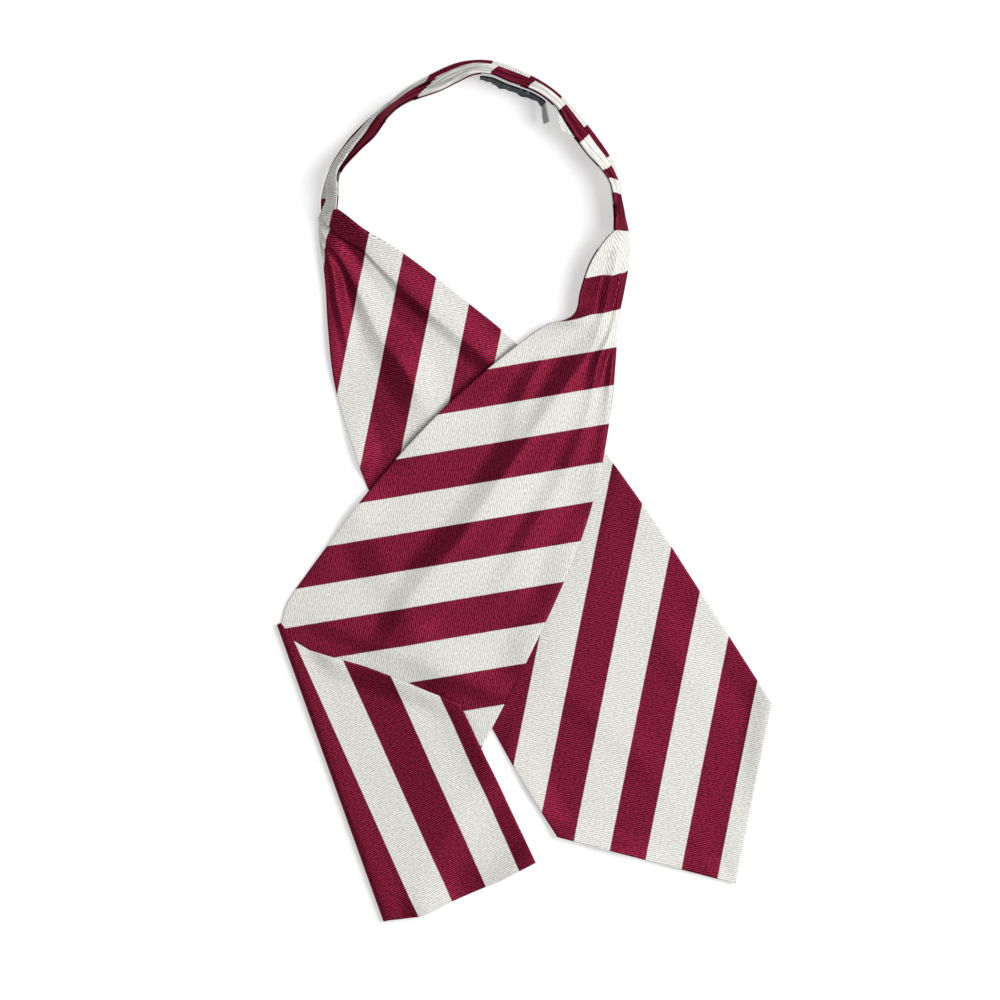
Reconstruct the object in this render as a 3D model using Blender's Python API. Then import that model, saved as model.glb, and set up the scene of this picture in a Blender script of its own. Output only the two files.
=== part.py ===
"""A striped silk cravat laid flat: two pointed blades crossed, one end turned back over
its own front, and a pleated neckband that stands on its edge in a loop.

Tables are in millimetres and the model is in metres, with +Z up. Each blade has its own
measures: along runs from its neck seam to its point and out runs across it.
"""

import math
from collections import namedtuple

import bmesh
import bpy
from mathutils import Vector

for old in list(bpy.data.objects):
    bpy.data.objects.remove(old)

MM = 0.001

# Cloth
PLY = 1.0                # wall of one panel
GAP = 0.3                # clear space between two layers of cloth
MID = PLY + GAP / 2      # height of the sheet midway between a blade's two panels
FACE = (GAP / 2, GAP / 2 + PLY)       # offsets of the panel above that sheet
BACK = (-GAP / 2 - PLY, -GAP / 2)     # and of the panel below it
OVER_LIFT = 2 * PLY + 2 * GAP         # how far the over blade rides above the under one
STEP_DOWN = 24.0         # length over which cloth comes down from what it lies on
EDGE_CLEAR = 9.0         # level stretch kept before that slope

# Neckband
BAND_WIDTH = 25.0        # real width of the band, measured up its slope
TUCKS = (0.24, 0.50, 0.76)            # where its long tucks stand, across the band
TUCK_RISE = 1.1
TUCK_HALF_WIDTH = 3.6

# Turned-back end
BEND = 1.9               # radius of the fold
PRESS = 16.0             # distance over which the turned end settles from the fold

# Where each blade's neck seam lies, and the side slope of both blades to the loop's axis
UNDER_NECK = (-124.9, 168.3)
OVER_NECK = (58.5, 160.4)
BLADE_TURN = math.atan2(0.53, 0.85)

UnderRow = namedtuple(
    "UnderRow", "left_along left_out right_along right_out lift curl point")
UNDER_ROWS = [
    UnderRow(-1.1, 0.2, 1.6, 11.3, 22.2, 1.0, 0.0),
    UnderRow(7.5, -5.0, 9.0, 14.4, 20.0, 1.1, 0.0),
    UnderRow(20.0, -11.0, 20.0, 18.9, 16.0, 1.2, 0.0),
    UnderRow(38.0, -20.2, 38.0, 28.4, 11.0, 1.5, 0.0),
    UnderRow(60.0, -32.2, 60.0, 37.4, 6.5, 1.8, 0.0),
    UnderRow(90.0, -46.4, 90.0, 48.6, 2.4, 2.2, 0.0),
    UnderRow(125.0, -56.8, 125.0, 60.2, 0.0, 2.5, 0.0),
    UnderRow(165.0, -64.4, 165.0, 66.4, 0.0, 2.5, 0.0),
    UnderRow(215.0, -68.4, 215.0, 72.0, 0.0, 2.5, 0.0),
    UnderRow(265.0, -72.4, 265.0, 75.2, 0.0, 2.5, 0.0),
    UnderRow(315.0, -75.8, 315.0, 76.2, 0.0, 2.5, 0.0),
    UnderRow(357.0, -77.8, 357.0, 76.8, 0.0, 2.5, 34.0),
    UnderRow(397.5, -77.5, 397.5, 77.3, 0.0, 2.5, 82.0),
]

OverRow = namedtuple("OverRow", "left_along left_out right_along right_out lift curl")
OVER_ROWS = [
    OverRow(2.7, -3.5, -2.6, 3.3, 23.5, 1.0),
    OverRow(12.6, -5.8, 7.0, 10.3, 21.5, 1.0),
    OverRow(27.6, -6.0, 17.2, 15.6, 18.0, 1.1),
    OverRow(45.0, -2.4, 33.0, 22.4, 13.5, 1.3),
    OverRow(54.5, 1.0, 45.0, 26.9, 10.5, 1.5),
    OverRow(61.6, -0.2, 54.8, 31.6, 8.0, 1.7),
    OverRow(72.5, -8.4, 67.0, 38.2, 5.0, 2.0),
    OverRow(91.9, -16.7, 83.0, 46.5, 2.2, 2.3),
    OverRow(115.8, -25.0, 107.2, 57.8, 0.6, 2.5),
    OverRow(143.1, -33.0, 135.0, 68.6, 0.0, 2.5),
    OverRow(180.0, -41.0, 170.0, 78.6, 0.0, 2.5),
    OverRow(216.8, -46.8, 210.0, 85.4, 0.0, 2.5),
    OverRow(252.0, -50.0, 258.0, 90.8, 0.0, 2.5),
    OverRow(280.0, -52.2, 312.4, 94.9, 0.0, 2.5),
    OverRow(300.0, -53.0, 370.0, 98.4, 0.0, 2.5),
    OverRow(313.0, -49.4, 432.8, 102.3, 0.0, 2.5),
]
FULL_RIDE_ROW = 6        # row at which the over blade reaches its full ride
FOLD_ROW = len(OVER_ROWS) - 1

# The turned-back end as it lies, each row from the over blade's left to its right
EndRow = namedtuple("EndRow", "left_along left_out right_along right_out")
END_ROWS = [
    EndRow(313.0, -49.4, 432.8, 102.3),
    EndRow(318.2, -38.0, 427.6, 109.0),
    EndRow(318.1, -25.9, 420.9, 116.8),
    EndRow(308.3, 8.3, 398.0, 132.4),
    EndRow(302.0, 39.8, 376.2, 147.6),
    EndRow(296.9, 69.3, 355.0, 160.2),
]
END_FIRST = FOLD_ROW + 1
END_LAST = END_FIRST + len(END_ROWS) - 1

# Soft pleats that run out of each neck. Across is a share of the blade's width there
Pleat = namedtuple(
    "Pleat", "start end across_start across_end neck_rise rise half_width half_width_end")
UNDER_PLEATS = [
    Pleat(-6.0, 112.0, 0.80, 0.86, 1.0, 2.6, 3.6, 13.0),
    Pleat(-6.0, 104.0, 0.50, 0.56, 1.0, 2.2, 3.6, 14.0),
    Pleat(-6.0, 88.0, 0.22, 0.22, 1.0, 1.8, 3.6, 10.0),
]
OVER_PLEATS = [
    Pleat(-6.0, 96.0, 0.78, 0.82, 1.0, 1.6, 3.6, 9.0),
    Pleat(-6.0, 150.0, 0.50, 0.66, 1.0, 2.6, 3.6, 15.0),
    Pleat(-6.0, 120.0, 0.22, 0.32, 1.0, 2.2, 3.6, 12.0),
]

BandRow = namedtuple("BandRow", "outer_x outer_y inner_x inner_y turn_share")
BAND_ROWS = [
    BandRow(-125.3, 169.3, -114.5, 172.9, 1.00),
    BandRow(-124.5, 181.3, -113.0, 182.1, 1.00),
    BandRow(-122.0, 191.6, -112.8, 190.4, 1.00),
    BandRow(-117.5, 202.7, -110.2, 197.6, 0.96),
    BandRow(-109.8, 214.2, -99.8, 208.8, 0.72),
    BandRow(-103.2, 221.7, -90.9, 217.2, 0.56),
    BandRow(-93.4, 231.1, -84.8, 225.8, 0.40),
    BandRow(-83.0, 239.4, -77.4, 233.4, 0.16),
    BandRow(-72.3, 247.9, -67.2, 238.9, 0.0),
    BandRow(-58.8, 255.8, -52.4, 243.9, 0.0),
    BandRow(-43.5, 262.8, -40.8, 249.6, 0.0),
    BandRow(-30.9, 265.1, -30.8, 254.2, 0.0),
    BandRow(-18.7, 264.4, -20.7, 254.0, 0.0),
    BandRow(-5.3, 259.9, -10.0, 249.6, 0.0),
    BandRow(10.6, 251.8, 6.0, 243.8, 0.0),
    BandRow(22.7, 242.6, 17.6, 235.0, 0.0),
    BandRow(34.6, 229.8, 27.0, 220.4, 0.0),
    BandRow(45.1, 216.4, 36.4, 206.9, 0.0),
    BandRow(53.0, 204.4, 45.4, 197.0, 0.0),
    BandRow(58.3, 192.6, 50.8, 189.0, 0.0),
    BandRow(60.3, 181.0, 52.6, 180.2, 0.0),
    BandRow(61.8, 170.5, 53.6, 170.3, 0.0),
    BandRow(62.6, 160.8, 54.1, 159.9, 0.0),
]
BAND_LAST = len(BAND_ROWS) - 1
OUTER_INSET = 1.2        # the table gives the band's seen edges, and the sheet midway in
INNER_INSET = 0.6        # its walls lies this far inside them, away from the neck seams
SEAM = 0.02              # share of a row by which pieces stop short of a neck seam
TURN_LAST = 7.0          # the turned stretch ends in its slanted fold edge here
TURN_RISE = PLY + GAP    # the turned stretch lies over the face stretch
TURN_RISE_ROW = 0.8      # it rises from here
TURN_RISE_ROWS = 1.8     # over so many rows
TURN_FIRST = 3.0         # the face stretch starts here, hidden under the turned one
TURN_COVERS = 0.30       # share of the band where the face runs on below the turned one
FACE_EDGE = 0.07         # the facing shows this far past the face's outer edge
FACING_TOP = 0.95        # share of the band's width that the facing covers
PEEK_ROW = 15.7          # where the facing shows past the band's inner edge
PEEK_ROWS = 0.5          # how far that spreads along the band
PEEK_REACH = 0.25

# Blank label at the loop's inner edge, hanging from the band
LABEL_WALL = 1.0
LABEL_ROWS = (11.3, 14.55)
LABEL_TOP = 0.93
LABEL_DROP = 12.5
LABEL_SWING = 3.2
LABEL_TURNED = (2.6, -12.4)           # where its turned-out end reaches from the corner


def mix(a, b, share):
    return a + (b - a) * share


def ease(x):
    x = min(max(x, 0.0), 1.0)
    return x * x * (3.0 - 2.0 * x)


def row_at(rows, k):
    """A smooth row between the table's rows, at the row number k."""
    i = min(max(int(math.floor(k)), 0), len(rows) - 2)
    f = k - i
    a, b, c, d = (rows[min(max(j, 0), len(rows) - 1)] for j in range(i - 1, i + 3))
    out = [
        q + 0.5 * f * (r - p + f * (2 * p - 5 * q + 4 * r - s + f * (3 * (q - r) + s - p)))
        for p, q, r, s in zip(a, b, c, d)
    ]
    return type(rows[0])(*out)


def straight_row_at(rows, k):
    i = min(max(int(math.floor(k)), 0), len(rows) - 2)
    return type(rows[0])(*(mix(p, q, k - i) for p, q in zip(rows[i], rows[i + 1])))


def on_page(neck, side, along, out):
    """A blade's own measures to the page. side is 1 for the under blade, -1 for the over."""
    s, c = math.sin(BLADE_TURN), math.cos(BLADE_TURN)
    return Vector((neck[0] + side * s * along + c * out,
                   neck[1] - c * along + side * s * out))


def from_page(neck, side, p):
    s, c = math.sin(BLADE_TURN), math.cos(BLADE_TURN)
    x, y = p[0] - neck[0], p[1] - neck[1]
    return side * s * x - c * y, c * x + side * s * y


def pleat_rise(pleats, along, across, width):
    total = 0.0
    for p in pleats:
        share = (along - p.start) / (p.end - p.start)
        if share >= 1.0:
            continue
        share = max(share, 0.0)
        centre = mix(p.across_start, p.across_end, ease(share * 2.0))
        half = mix(p.half_width, p.half_width_end, share)
        x = (across - centre) * width / half
        if abs(x) < 1.0:
            rise = mix(p.neck_rise, p.rise, ease(share * 2.5)) * (1.0 - ease(share * 1.6 - 0.6))
            total += rise * math.cos(math.pi * x / 2.0) ** 2
    return total


def section(left, right, across, curl, rise):
    """A point on a section from left to right, moved out by rise along its own normal."""
    chord = right - left
    flat = math.hypot(chord.x, chord.y)
    lean = math.atan2(chord.z, flat)
    side = Vector((chord.x / flat, chord.y / flat, 0.0))
    p = Vector((mix(left.x, right.x, across), mix(left.y, right.y, across), 0.0))
    if chord.z >= 0.0:
        p.z = left.z + chord.z * max(across, 0.0) ** curl
    else:
        p.z = right.z - chord.z * max(1.0 - across, 0.0) ** curl
    return p + (side * -math.sin(lean) + Vector((0.0, 0.0, math.cos(lean)))) * rise


def under_sheet(k, across):
    row = row_at(UNDER_ROWS, k)
    lift = max(row.lift, 0.0)
    left = on_page(UNDER_NECK, 1, row.left_along, row.left_out).to_3d()
    right = on_page(UNDER_NECK, 1, row.right_along, row.right_out).to_3d()
    width = math.hypot((right - left).length, lift)
    left.z, right.z = MID, MID + lift
    along = mix(row.left_along, row.right_along, across)
    rise = pleat_rise(UNDER_PLEATS, along, across, width)
    p = section(left, right, across, max(row.curl, 1.0), rise)
    bow = row.point * (1.0 - abs(2.0 * across - 1.0))
    s, c = math.sin(BLADE_TURN), math.cos(BLADE_TURN)
    return p + Vector((s * bow, -c * bow, 0.0))


def under_left_edge(along):
    for a, b in zip(UNDER_ROWS, UNDER_ROWS[1:]):
        if along < b.left_along:
            break
    share = (along - a.left_along) / (b.left_along - a.left_along)
    return mix(a.left_out, b.left_out, min(max(share, 0.0), 1.0))


def ride(p):
    """How far cloth at a place on the page is lifted by the under blade below it."""
    along, out = from_page(UNDER_NECK, 1, p)
    inside = out - under_left_edge(along)
    return OVER_LIFT * ease((inside + EDGE_CLEAR + STEP_DOWN) / STEP_DOWN)


def over_right_edge(along):
    for a, b in zip(OVER_ROWS, OVER_ROWS[1:]):
        if along < b.right_along:
            break
    share = (along - a.right_along) / (b.right_along - a.right_along)
    return mix(a.right_out, b.right_out, min(max(share, 0.0), 1.0))


def over_flat(k, across):
    row = row_at(OVER_ROWS, k)
    lift = max(row.lift, 0.0)
    left = on_page(OVER_NECK, -1, row.left_along, row.left_out).to_3d()
    right = on_page(OVER_NECK, -1, row.right_along, row.right_out).to_3d()
    width = math.hypot((right - left).length, lift)
    left.z, right.z = MID + lift, MID
    along = mix(row.left_along, row.right_along, across)
    rise = pleat_rise(OVER_PLEATS, along, across, width)
    p = section(left, right, across, max(row.curl, 1.0), rise)
    p.z += ride(p) * ease(k / FULL_RIDE_ROW)
    return p


def over_sheet(k, across):
    """The over blade, round its fold and back over its own front."""
    if k <= FOLD_ROW:
        return over_flat(k, across)
    row = END_ROWS[0]
    left = on_page(OVER_NECK, -1, row.left_along, row.left_out)
    right = on_page(OVER_NECK, -1, row.right_along, row.right_out)
    if k < END_FIRST:
        turn = math.pi * (k - FOLD_ROW)
        fold = (right - left).normalized()
        start = left.lerp(right, across).to_3d()
        outward = Vector((fold.y, -fold.x, 0.0))
        start.z = MID + ride(start) + BEND * (1.0 - math.cos(turn))
        return start + outward * BEND * math.sin(turn)
    row = straight_row_at(END_ROWS, k - END_FIRST)
    along = mix(row.left_along, row.right_along, across)
    out = mix(row.left_out, row.right_out, across)
    p = on_page(OVER_NECK, -1, along, out).to_3d()
    from_fold = (p.to_2d() - left).dot(Vector((left.y - right.y, right.x - left.x)).normalized())
    spare = (2.0 * BEND - OVER_LIFT - GAP) * (1.0 - ease(from_fold / PRESS)) + GAP
    stacked = ride(p) + OVER_LIFT + spare
    past = out - over_right_edge(along)
    p.z = MID + stacked * (1.0 - ease((past - EDGE_CLEAR / 2.0) / STEP_DOWN))
    return p


def band_sheet(k, across):
    """The neckband: across runs from its outer edge on the surface to its inner edge, and
    past that edge, where the facing hangs loose, it runs level into the loop."""
    row = row_at(BAND_ROWS, k)
    outer = Vector((row.outer_x, row.outer_y, MID))
    inner = Vector((row.inner_x, row.inner_y, MID))
    inward = (inner - outer).normalized()
    off_seams = ease(k) * ease(BAND_LAST - k)
    outer += inward * OUTER_INSET * off_seams
    inner -= inward * INNER_INSET * off_seams
    inner.z += math.sqrt(BAND_WIDTH ** 2 - (inner - outer).length_squared)
    if across <= 1.0:
        return outer.lerp(inner, across)
    return inner + inward * BAND_WIDTH * (across - 1.0)


def tuck_rise(across):
    """Long tucks raised on the outer side of the band, over a plain inside."""
    rise = 0.0
    for tuck in TUCKS:
        x = (across - tuck) * BAND_WIDTH / TUCK_HALF_WIDTH
        if abs(x) < 1.0:
            rise += TUCK_RISE * math.cos(math.pi * x / 2.0) ** 2
    return rise


def normal_of(sheet, k, across):
    step = 0.004
    down_rows = sheet(k + step, across) - sheet(k - step, across)
    over_columns = sheet(k, across + step) - sheet(k, across - step)
    return down_rows.cross(over_columns).normalized()


def band_normal(k, across):
    return -normal_of(band_sheet, k, across)


def under_normal(k, across):
    """Square to the under blade, and to the band where they are seamed."""
    own = normal_of(under_sheet, k, across)
    return band_normal(0.0, across).lerp(own, ease(k)).normalized() if k < 1.0 else own


def over_normal(k, across):
    own = normal_of(over_sheet, k, across)
    seam = band_normal(BAND_LAST, 1.0 - across)
    return seam.lerp(own, ease(k)).normalized() if k < 1.0 else own


def moved_out(sheet, normal, offset):
    """The surface at an offset from a sheet, which may vary over it."""
    def surface(k, across):
        rise = offset(k, across) if callable(offset) else offset
        return sheet(k, across) + normal(k, across) * rise

    return surface


def across_band(first, last):
    """The part of the band between two shares of its width, and its normal."""
    def sheet(k, across):
        return band_sheet(k, mix(first(k), last(k), across))

    def normal(k, across):
        return band_normal(k, mix(first(k), last(k), across))

    return sheet, normal


def spread(first, last, count):
    return [mix(first, last, i / count) for i in range(count + 1)]


def add_wall(name, low, high, rows, columns, material):
    """A closed wall of cloth between two surfaces over the same rows and columns."""
    mesh = bpy.data.meshes.new(name)
    bm = bmesh.new()
    down, over = len(rows) - 1, len(columns) - 1
    bmesh.ops.create_grid(bm, x_segments=over, y_segments=down, size=0.5)
    row_of = bm.verts.layers.int.new("row")
    column_of = bm.verts.layers.int.new("column")
    for v in bm.verts:
        v[row_of] = round((v.co.y + 0.5) * down)
        v[column_of] = round((v.co.x + 0.5) * over)
    made = bmesh.ops.extrude_face_region(bm, geom=bm.faces[:], use_keep_orig=True)
    upper = {g for g in made["geom"] if isinstance(g, bmesh.types.BMVert)}
    for v in bm.verts:
        surface = high if v in upper else low
        v.co = surface(rows[v[row_of]], columns[v[column_of]]) * MM
    bm.verts.layers.int.remove(row_of)
    bm.verts.layers.int.remove(bm.verts.layers.int["column"])
    bmesh.ops.recalc_face_normals(bm, faces=bm.faces[:])
    bm.to_mesh(mesh)
    bm.free()
    mesh.materials.append(material)
    mesh.shade_smooth()
    mesh.set_sharp_from_angle(angle=math.radians(50))
    piece = bpy.data.objects.new(name, mesh)
    bpy.context.scene.collection.objects.link(piece)
    return piece


def cloth(name, colour, roughness):
    material = bpy.data.materials.new(name)
    material.use_nodes = True
    shader = material.node_tree.nodes["Principled BSDF"]
    shader.inputs["Base Color"].default_value = (*colour, 1.0)
    shader.inputs["Roughness"].default_value = roughness
    shader.inputs["Sheen Weight"].default_value = 0.3
    return material


MAROON = (0.19, 0.017, 0.04)
IVORY = (0.76, 0.75, 0.72)
NAVY = (0.02, 0.025, 0.05)

# Under blade: rows close together at the neck, where it opens out
under_rows = spread(0.0, 6.0, 13)[:-1] + spread(6.0, 10.0, 6)[:-1] + spread(10.0, 12.0, 4)
under_rows[0] = SEAM
under_columns = spread(0.0, 1.0, 14)
for name, offsets, colour in (("under_blade_face", FACE, MAROON),
                              ("under_blade_back", BACK, IVORY)):
    low, high = (moved_out(under_sheet, under_normal, offset) for offset in offsets)
    add_wall(name, low, high, under_rows, under_columns, cloth(name, colour, 0.5))

# Over blade, its fold and the turned-back end
over_rows = spread(0.0, 8.0, 16)[:-1] + spread(8.0, FOLD_ROW, 11)[:-1]
over_rows += spread(FOLD_ROW, END_FIRST, 7)[:-1] + spread(END_FIRST, END_LAST, 9)
over_rows[0] = SEAM
over_columns = spread(0.0, 1.0, 14)
for name, offsets, colour in (("over_blade_face", FACE, MAROON),
                              ("over_blade_back", BACK, IVORY)):
    low, high = (moved_out(over_sheet, over_normal, offset) for offset in offsets)
    add_wall(name, low, high, over_rows, over_columns, cloth(name, colour, 0.5))

# Neckband: its three walls share their rows, so that each lies evenly on the next
seam_rows = spread(SEAM, TURN_FIRST, 6)
turn_rows = spread(TURN_FIRST, TURN_LAST, 8)
loop_rows = spread(TURN_LAST, BAND_LAST - 2.0, 26)
end_rows = spread(BAND_LAST - 2.0, BAND_LAST - SEAM, 4)


def outer_edge(k):
    return 0.0


def turned_edge(k):
    """The slanted fold edge, as a share of the band's width."""
    return row_at(BAND_ROWS, k).turn_share


def turned_rise(k, across):
    return FACE[0] + TURN_RISE * ease((k - TURN_RISE_ROW) / TURN_RISE_ROWS)


def turned_rise_outside(k, across):
    return turned_rise(k, across) + PLY + tuck_rise(across * turned_edge(k)) * ease(k)


turned_part = across_band(outer_edge, turned_edge)
low = moved_out(*turned_part, turned_rise)
high = moved_out(*turned_part, turned_rise_outside)
add_wall("neckband_turned", low, high, seam_rows[:-1] + turn_rows, spread(0.0, 1.0, 12),
         cloth("neckband_turned", IVORY, 0.5))


def face_first(k):
    """Share of the band's width at which the face stretch starts, under the turned one."""
    under_turn = turned_edge(k) - TURN_COVERS if k < TURN_LAST + 1 else 0.0
    return max(under_turn, FACE_EDGE * ease((BAND_LAST - k) / 2.0))


def inner_edge(k):
    return 1.0


def face_rise_outside(k, across):
    clear_of_turn = ease((k - TURN_LAST) / 1.5)
    return FACE[1] + tuck_rise(mix(face_first(k), 1.0, across)) * clear_of_turn


face_part = across_band(face_first, inner_edge)
low = moved_out(*face_part, FACE[0])
high = moved_out(*face_part, face_rise_outside)
add_wall("neckband_face", low, high, turn_rows[:-1] + loop_rows[:-1] + end_rows,
         spread(0.0, 1.0, 12), cloth("neckband_face", MAROON, 0.5))


def facing_edge(k):
    return FACING_TOP + PEEK_REACH * math.exp(-((k - PEEK_ROW) / PEEK_ROWS) ** 2)


facing_part = across_band(outer_edge, facing_edge)
low, high = (moved_out(*facing_part, offset) for offset in BACK)
facing_rows = seam_rows[:-1] + turn_rows[:-1] + loop_rows[:-1] + end_rows
add_wall("neckband_facing", low, high, facing_rows, spread(0.0, 1.0, 6),
         cloth("neckband_facing", IVORY, 0.5))


# Label: hangs clear inside the band from just under its inner edge, one end turned out
def label_sheet(k, down):
    first, last = LABEL_ROWS
    along = min(k, last)
    behind = BACK[0] - GAP - LABEL_WALL
    top = band_sheet(along, LABEL_TOP) + band_normal(along, LABEL_TOP) * behind
    row = row_at(BAND_ROWS, along)
    inward = Vector((row.inner_x - row.outer_x, row.inner_y - row.outer_y, 0.0)).normalized()
    if k > last:
        top += Vector((*LABEL_TURNED, 0.0)) * (k - last)
        inward = inward.lerp(Vector((-1.0, -0.2, 0.0)), ease(k - last)).normalized()
    return top + inward * LABEL_SWING * down - Vector((0.0, 0.0, LABEL_DROP * down))


def label_normal(k, down):
    return normal_of(label_sheet, k, down)


half = LABEL_WALL / 2
low, high = (moved_out(label_sheet, label_normal, offset) for offset in (-half, half))
label_rows = spread(*LABEL_ROWS, 10) + spread(LABEL_ROWS[1] + 0.15, LABEL_ROWS[1] + 1.0, 4)
add_wall("label", low, high, label_rows, spread(0.0, 1.0, 3), cloth("label", NAVY, 0.6))

# The origin goes to the middle of the footprint, on the surface it lies on
corners = [v.co for o in bpy.data.objects for v in o.data.vertices]
low_corner = Vector([min(c[i] for c in corners) for i in range(3)])
high_corner = Vector([max(c[i] for c in corners) for i in range(3)])
middle = (low_corner + high_corner) / 2.0
for piece in bpy.data.objects:
    for v in piece.data.vertices:
        v.co -= Vector((middle.x, middle.y, low_corner.z))
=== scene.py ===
# %% [markdown]
# # A striped silk cravat, laid flat
#
# The real piece is two wide pointed blades of repp silk, each sewn from a face and a back
# panel, joined by a narrow pleated neckband. It lies on a white table: the blades cross,
# the end of the upper one is turned back over its own front, and the neckband stands on
# its edge in a loop. The imported solids hold the sizes. This script dresses them: each
# panel becomes a thin shell on its solid's form, with folds laid one by one, stripes that
# follow the cloth and a ribbed weave.

# %% The frame
import math
from collections import namedtuple

import bmesh
import bpy
import numpy as np
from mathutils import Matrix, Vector


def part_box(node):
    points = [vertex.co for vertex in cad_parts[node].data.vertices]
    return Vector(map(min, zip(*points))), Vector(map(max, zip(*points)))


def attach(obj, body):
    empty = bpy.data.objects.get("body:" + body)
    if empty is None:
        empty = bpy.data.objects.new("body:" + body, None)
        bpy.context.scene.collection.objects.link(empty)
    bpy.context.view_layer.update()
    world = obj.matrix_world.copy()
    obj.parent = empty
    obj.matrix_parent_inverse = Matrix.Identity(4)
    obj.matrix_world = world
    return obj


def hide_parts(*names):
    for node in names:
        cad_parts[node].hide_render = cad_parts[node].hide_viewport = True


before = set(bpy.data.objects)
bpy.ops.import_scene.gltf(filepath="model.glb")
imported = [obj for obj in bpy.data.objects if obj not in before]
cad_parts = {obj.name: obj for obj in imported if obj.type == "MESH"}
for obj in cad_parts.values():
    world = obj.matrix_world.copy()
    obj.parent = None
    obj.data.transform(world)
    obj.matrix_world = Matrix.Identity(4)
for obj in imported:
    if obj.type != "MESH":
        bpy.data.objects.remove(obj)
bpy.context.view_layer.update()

# %% [markdown]
# ## Measures
#
# Cloth is thin, so its layers are counted in tenths of a millimetre. Every panel is a
# sheet with a thickness, and a blade is two panels that lie a hair apart. The tables
# below are in millimetres, and a mesh is scaled to metres when it is made.

# %% Cloth measures
MM = 0.001
PLY = 1.0                # wall of one panel
GAP = 0.3                # clear space between two layers
MID = PLY + GAP / 2      # height of the sheet midway between a blade's two panels
OVER_LIFT = 2 * PLY + 2 * GAP
STEP_DOWN = 24.0         # length over which cloth comes down from what it lies on
EDGE_CLEAR = 9.0         # level stretch kept before that slope
SKIN = 0.45              # thickness of the shells made here
EDGE_RADIUS = 1.1        # how far in from an edge the cloth rolls over

# Each blade has its own measures: along runs from its neck seam to its point, and out
# runs across it. Both blades slope the same way off the loop's axis, on opposite sides
UNDER_NECK = (-124.9, 168.3)
OVER_NECK = (58.5, 160.4)
BLADE_TURN = math.atan2(0.53, 0.85)
print("a blade is", 2 * MID, "mm thick and turned", round(math.degrees(BLADE_TURN), 1), "degrees")

# %% [markdown]
# ## Reading a table smoothly
#
# A blade widens and narrows without corners. A dozen measured rows are enough if a smooth
# curve runs through them, so every shape here is a function of a row number, which may
# lie between two rows, and of a share of the way across. The functions take whole arrays,
# which keeps thousands of points quick.

# %% Smooth reading
def mix(a, b, share):
    return a + (b - a) * share


def ease(x):
    x = np.clip(x, 0.0, 1.0)
    return x * x * (3.0 - 2.0 * x)


def row_at(rows, k):
    """A smooth row between the table's rows, at the row numbers k."""
    table, k = np.array(rows, float), np.asarray(k, float)
    last = len(table) - 1
    i = np.clip(np.floor(k).astype(int), 0, last - 1)
    f = (k - i)[..., None]
    p, q, r, s = (table[np.clip(i + j, 0, last)] for j in (-1, 0, 1, 2))
    out = q + 0.5 * f * (r - p + f * (2 * p - 5 * q + 4 * r - s + f * (3 * (q - r) + s - p)))
    return type(rows[0])(*np.moveaxis(out, -1, 0))


def straight_row_at(rows, k):
    table, k = np.array(rows, float), np.asarray(k, float)
    i = np.clip(np.floor(k).astype(int), 0, len(table) - 2)
    out = mix(table[i], table[i + 1], (k - i)[..., None])
    return type(rows[0])(*np.moveaxis(out, -1, 0))


def point(x, y, z):
    return np.stack(np.broadcast_arrays(x, y, z), axis=-1)


def on_page(neck, side, along, out, z=0.0):
    """A blade's own measures to the page. side is 1 for the under blade, -1 for the over."""
    s, c = math.sin(BLADE_TURN), math.cos(BLADE_TURN)
    return point(neck[0] + side * s * along + c * out, neck[1] - c * along + side * s * out, z)


def from_page(neck, side, places):
    """The other way: places on the page to a blade's along and out."""
    s, c = math.sin(BLADE_TURN), math.cos(BLADE_TURN)
    x, y = places[..., 0] - neck[0], places[..., 1] - neck[1]
    return side * s * x - c * y, c * x + side * s * y

# %% [markdown]
# ## The under blade's form
#
# It leaves the neck gathered and tilted, because the band stands on its edge there, and
# flattens on the table as it widens. Its right side starts high and comes down, and soft
# pleats run out of the gathers.

# %% The under blade
UnderRow = namedtuple(
    "UnderRow", "left_along left_out right_along right_out lift curl point")
UNDER_ROWS = [
    UnderRow(-1.1, 0.2, 1.6, 11.3, 22.2, 1.0, 0.0),
    UnderRow(7.5, -5.0, 9.0, 14.4, 20.0, 1.1, 0.0),
    UnderRow(20.0, -11.0, 20.0, 18.9, 16.0, 1.2, 0.0),
    UnderRow(38.0, -20.2, 38.0, 28.4, 11.0, 1.5, 0.0),
    UnderRow(60.0, -32.2, 60.0, 37.4, 6.5, 1.8, 0.0),
    UnderRow(90.0, -46.4, 90.0, 48.6, 2.4, 2.2, 0.0),
    UnderRow(125.0, -56.8, 125.0, 60.2, 0.0, 2.5, 0.0),
    UnderRow(165.0, -64.4, 165.0, 66.4, 0.0, 2.5, 0.0),
    UnderRow(215.0, -68.4, 215.0, 72.0, 0.0, 2.5, 0.0),
    UnderRow(265.0, -72.4, 265.0, 75.2, 0.0, 2.5, 0.0),
    UnderRow(315.0, -75.8, 315.0, 76.2, 0.0, 2.5, 0.0),
    UnderRow(357.0, -77.8, 357.0, 76.8, 0.0, 2.5, 34.0),
    UnderRow(397.5, -77.5, 397.5, 77.3, 0.0, 2.5, 82.0),
]
UNDER_LAST = len(UNDER_ROWS) - 1


def section(left, right, across, curl):
    """Points on a section that lies flat at its low end and curls up to its high one."""
    across = np.asarray(across, float)
    p = mix(left, right, across[..., None])
    climb = right[..., 2] - left[..., 2]
    up_right = left[..., 2] + climb * np.maximum(across, 0.0) ** curl
    up_left = right[..., 2] - climb * np.maximum(1.0 - across, 0.0) ** curl
    p[..., 2] = np.where(climb >= 0.0, up_right, up_left)
    return p


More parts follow.
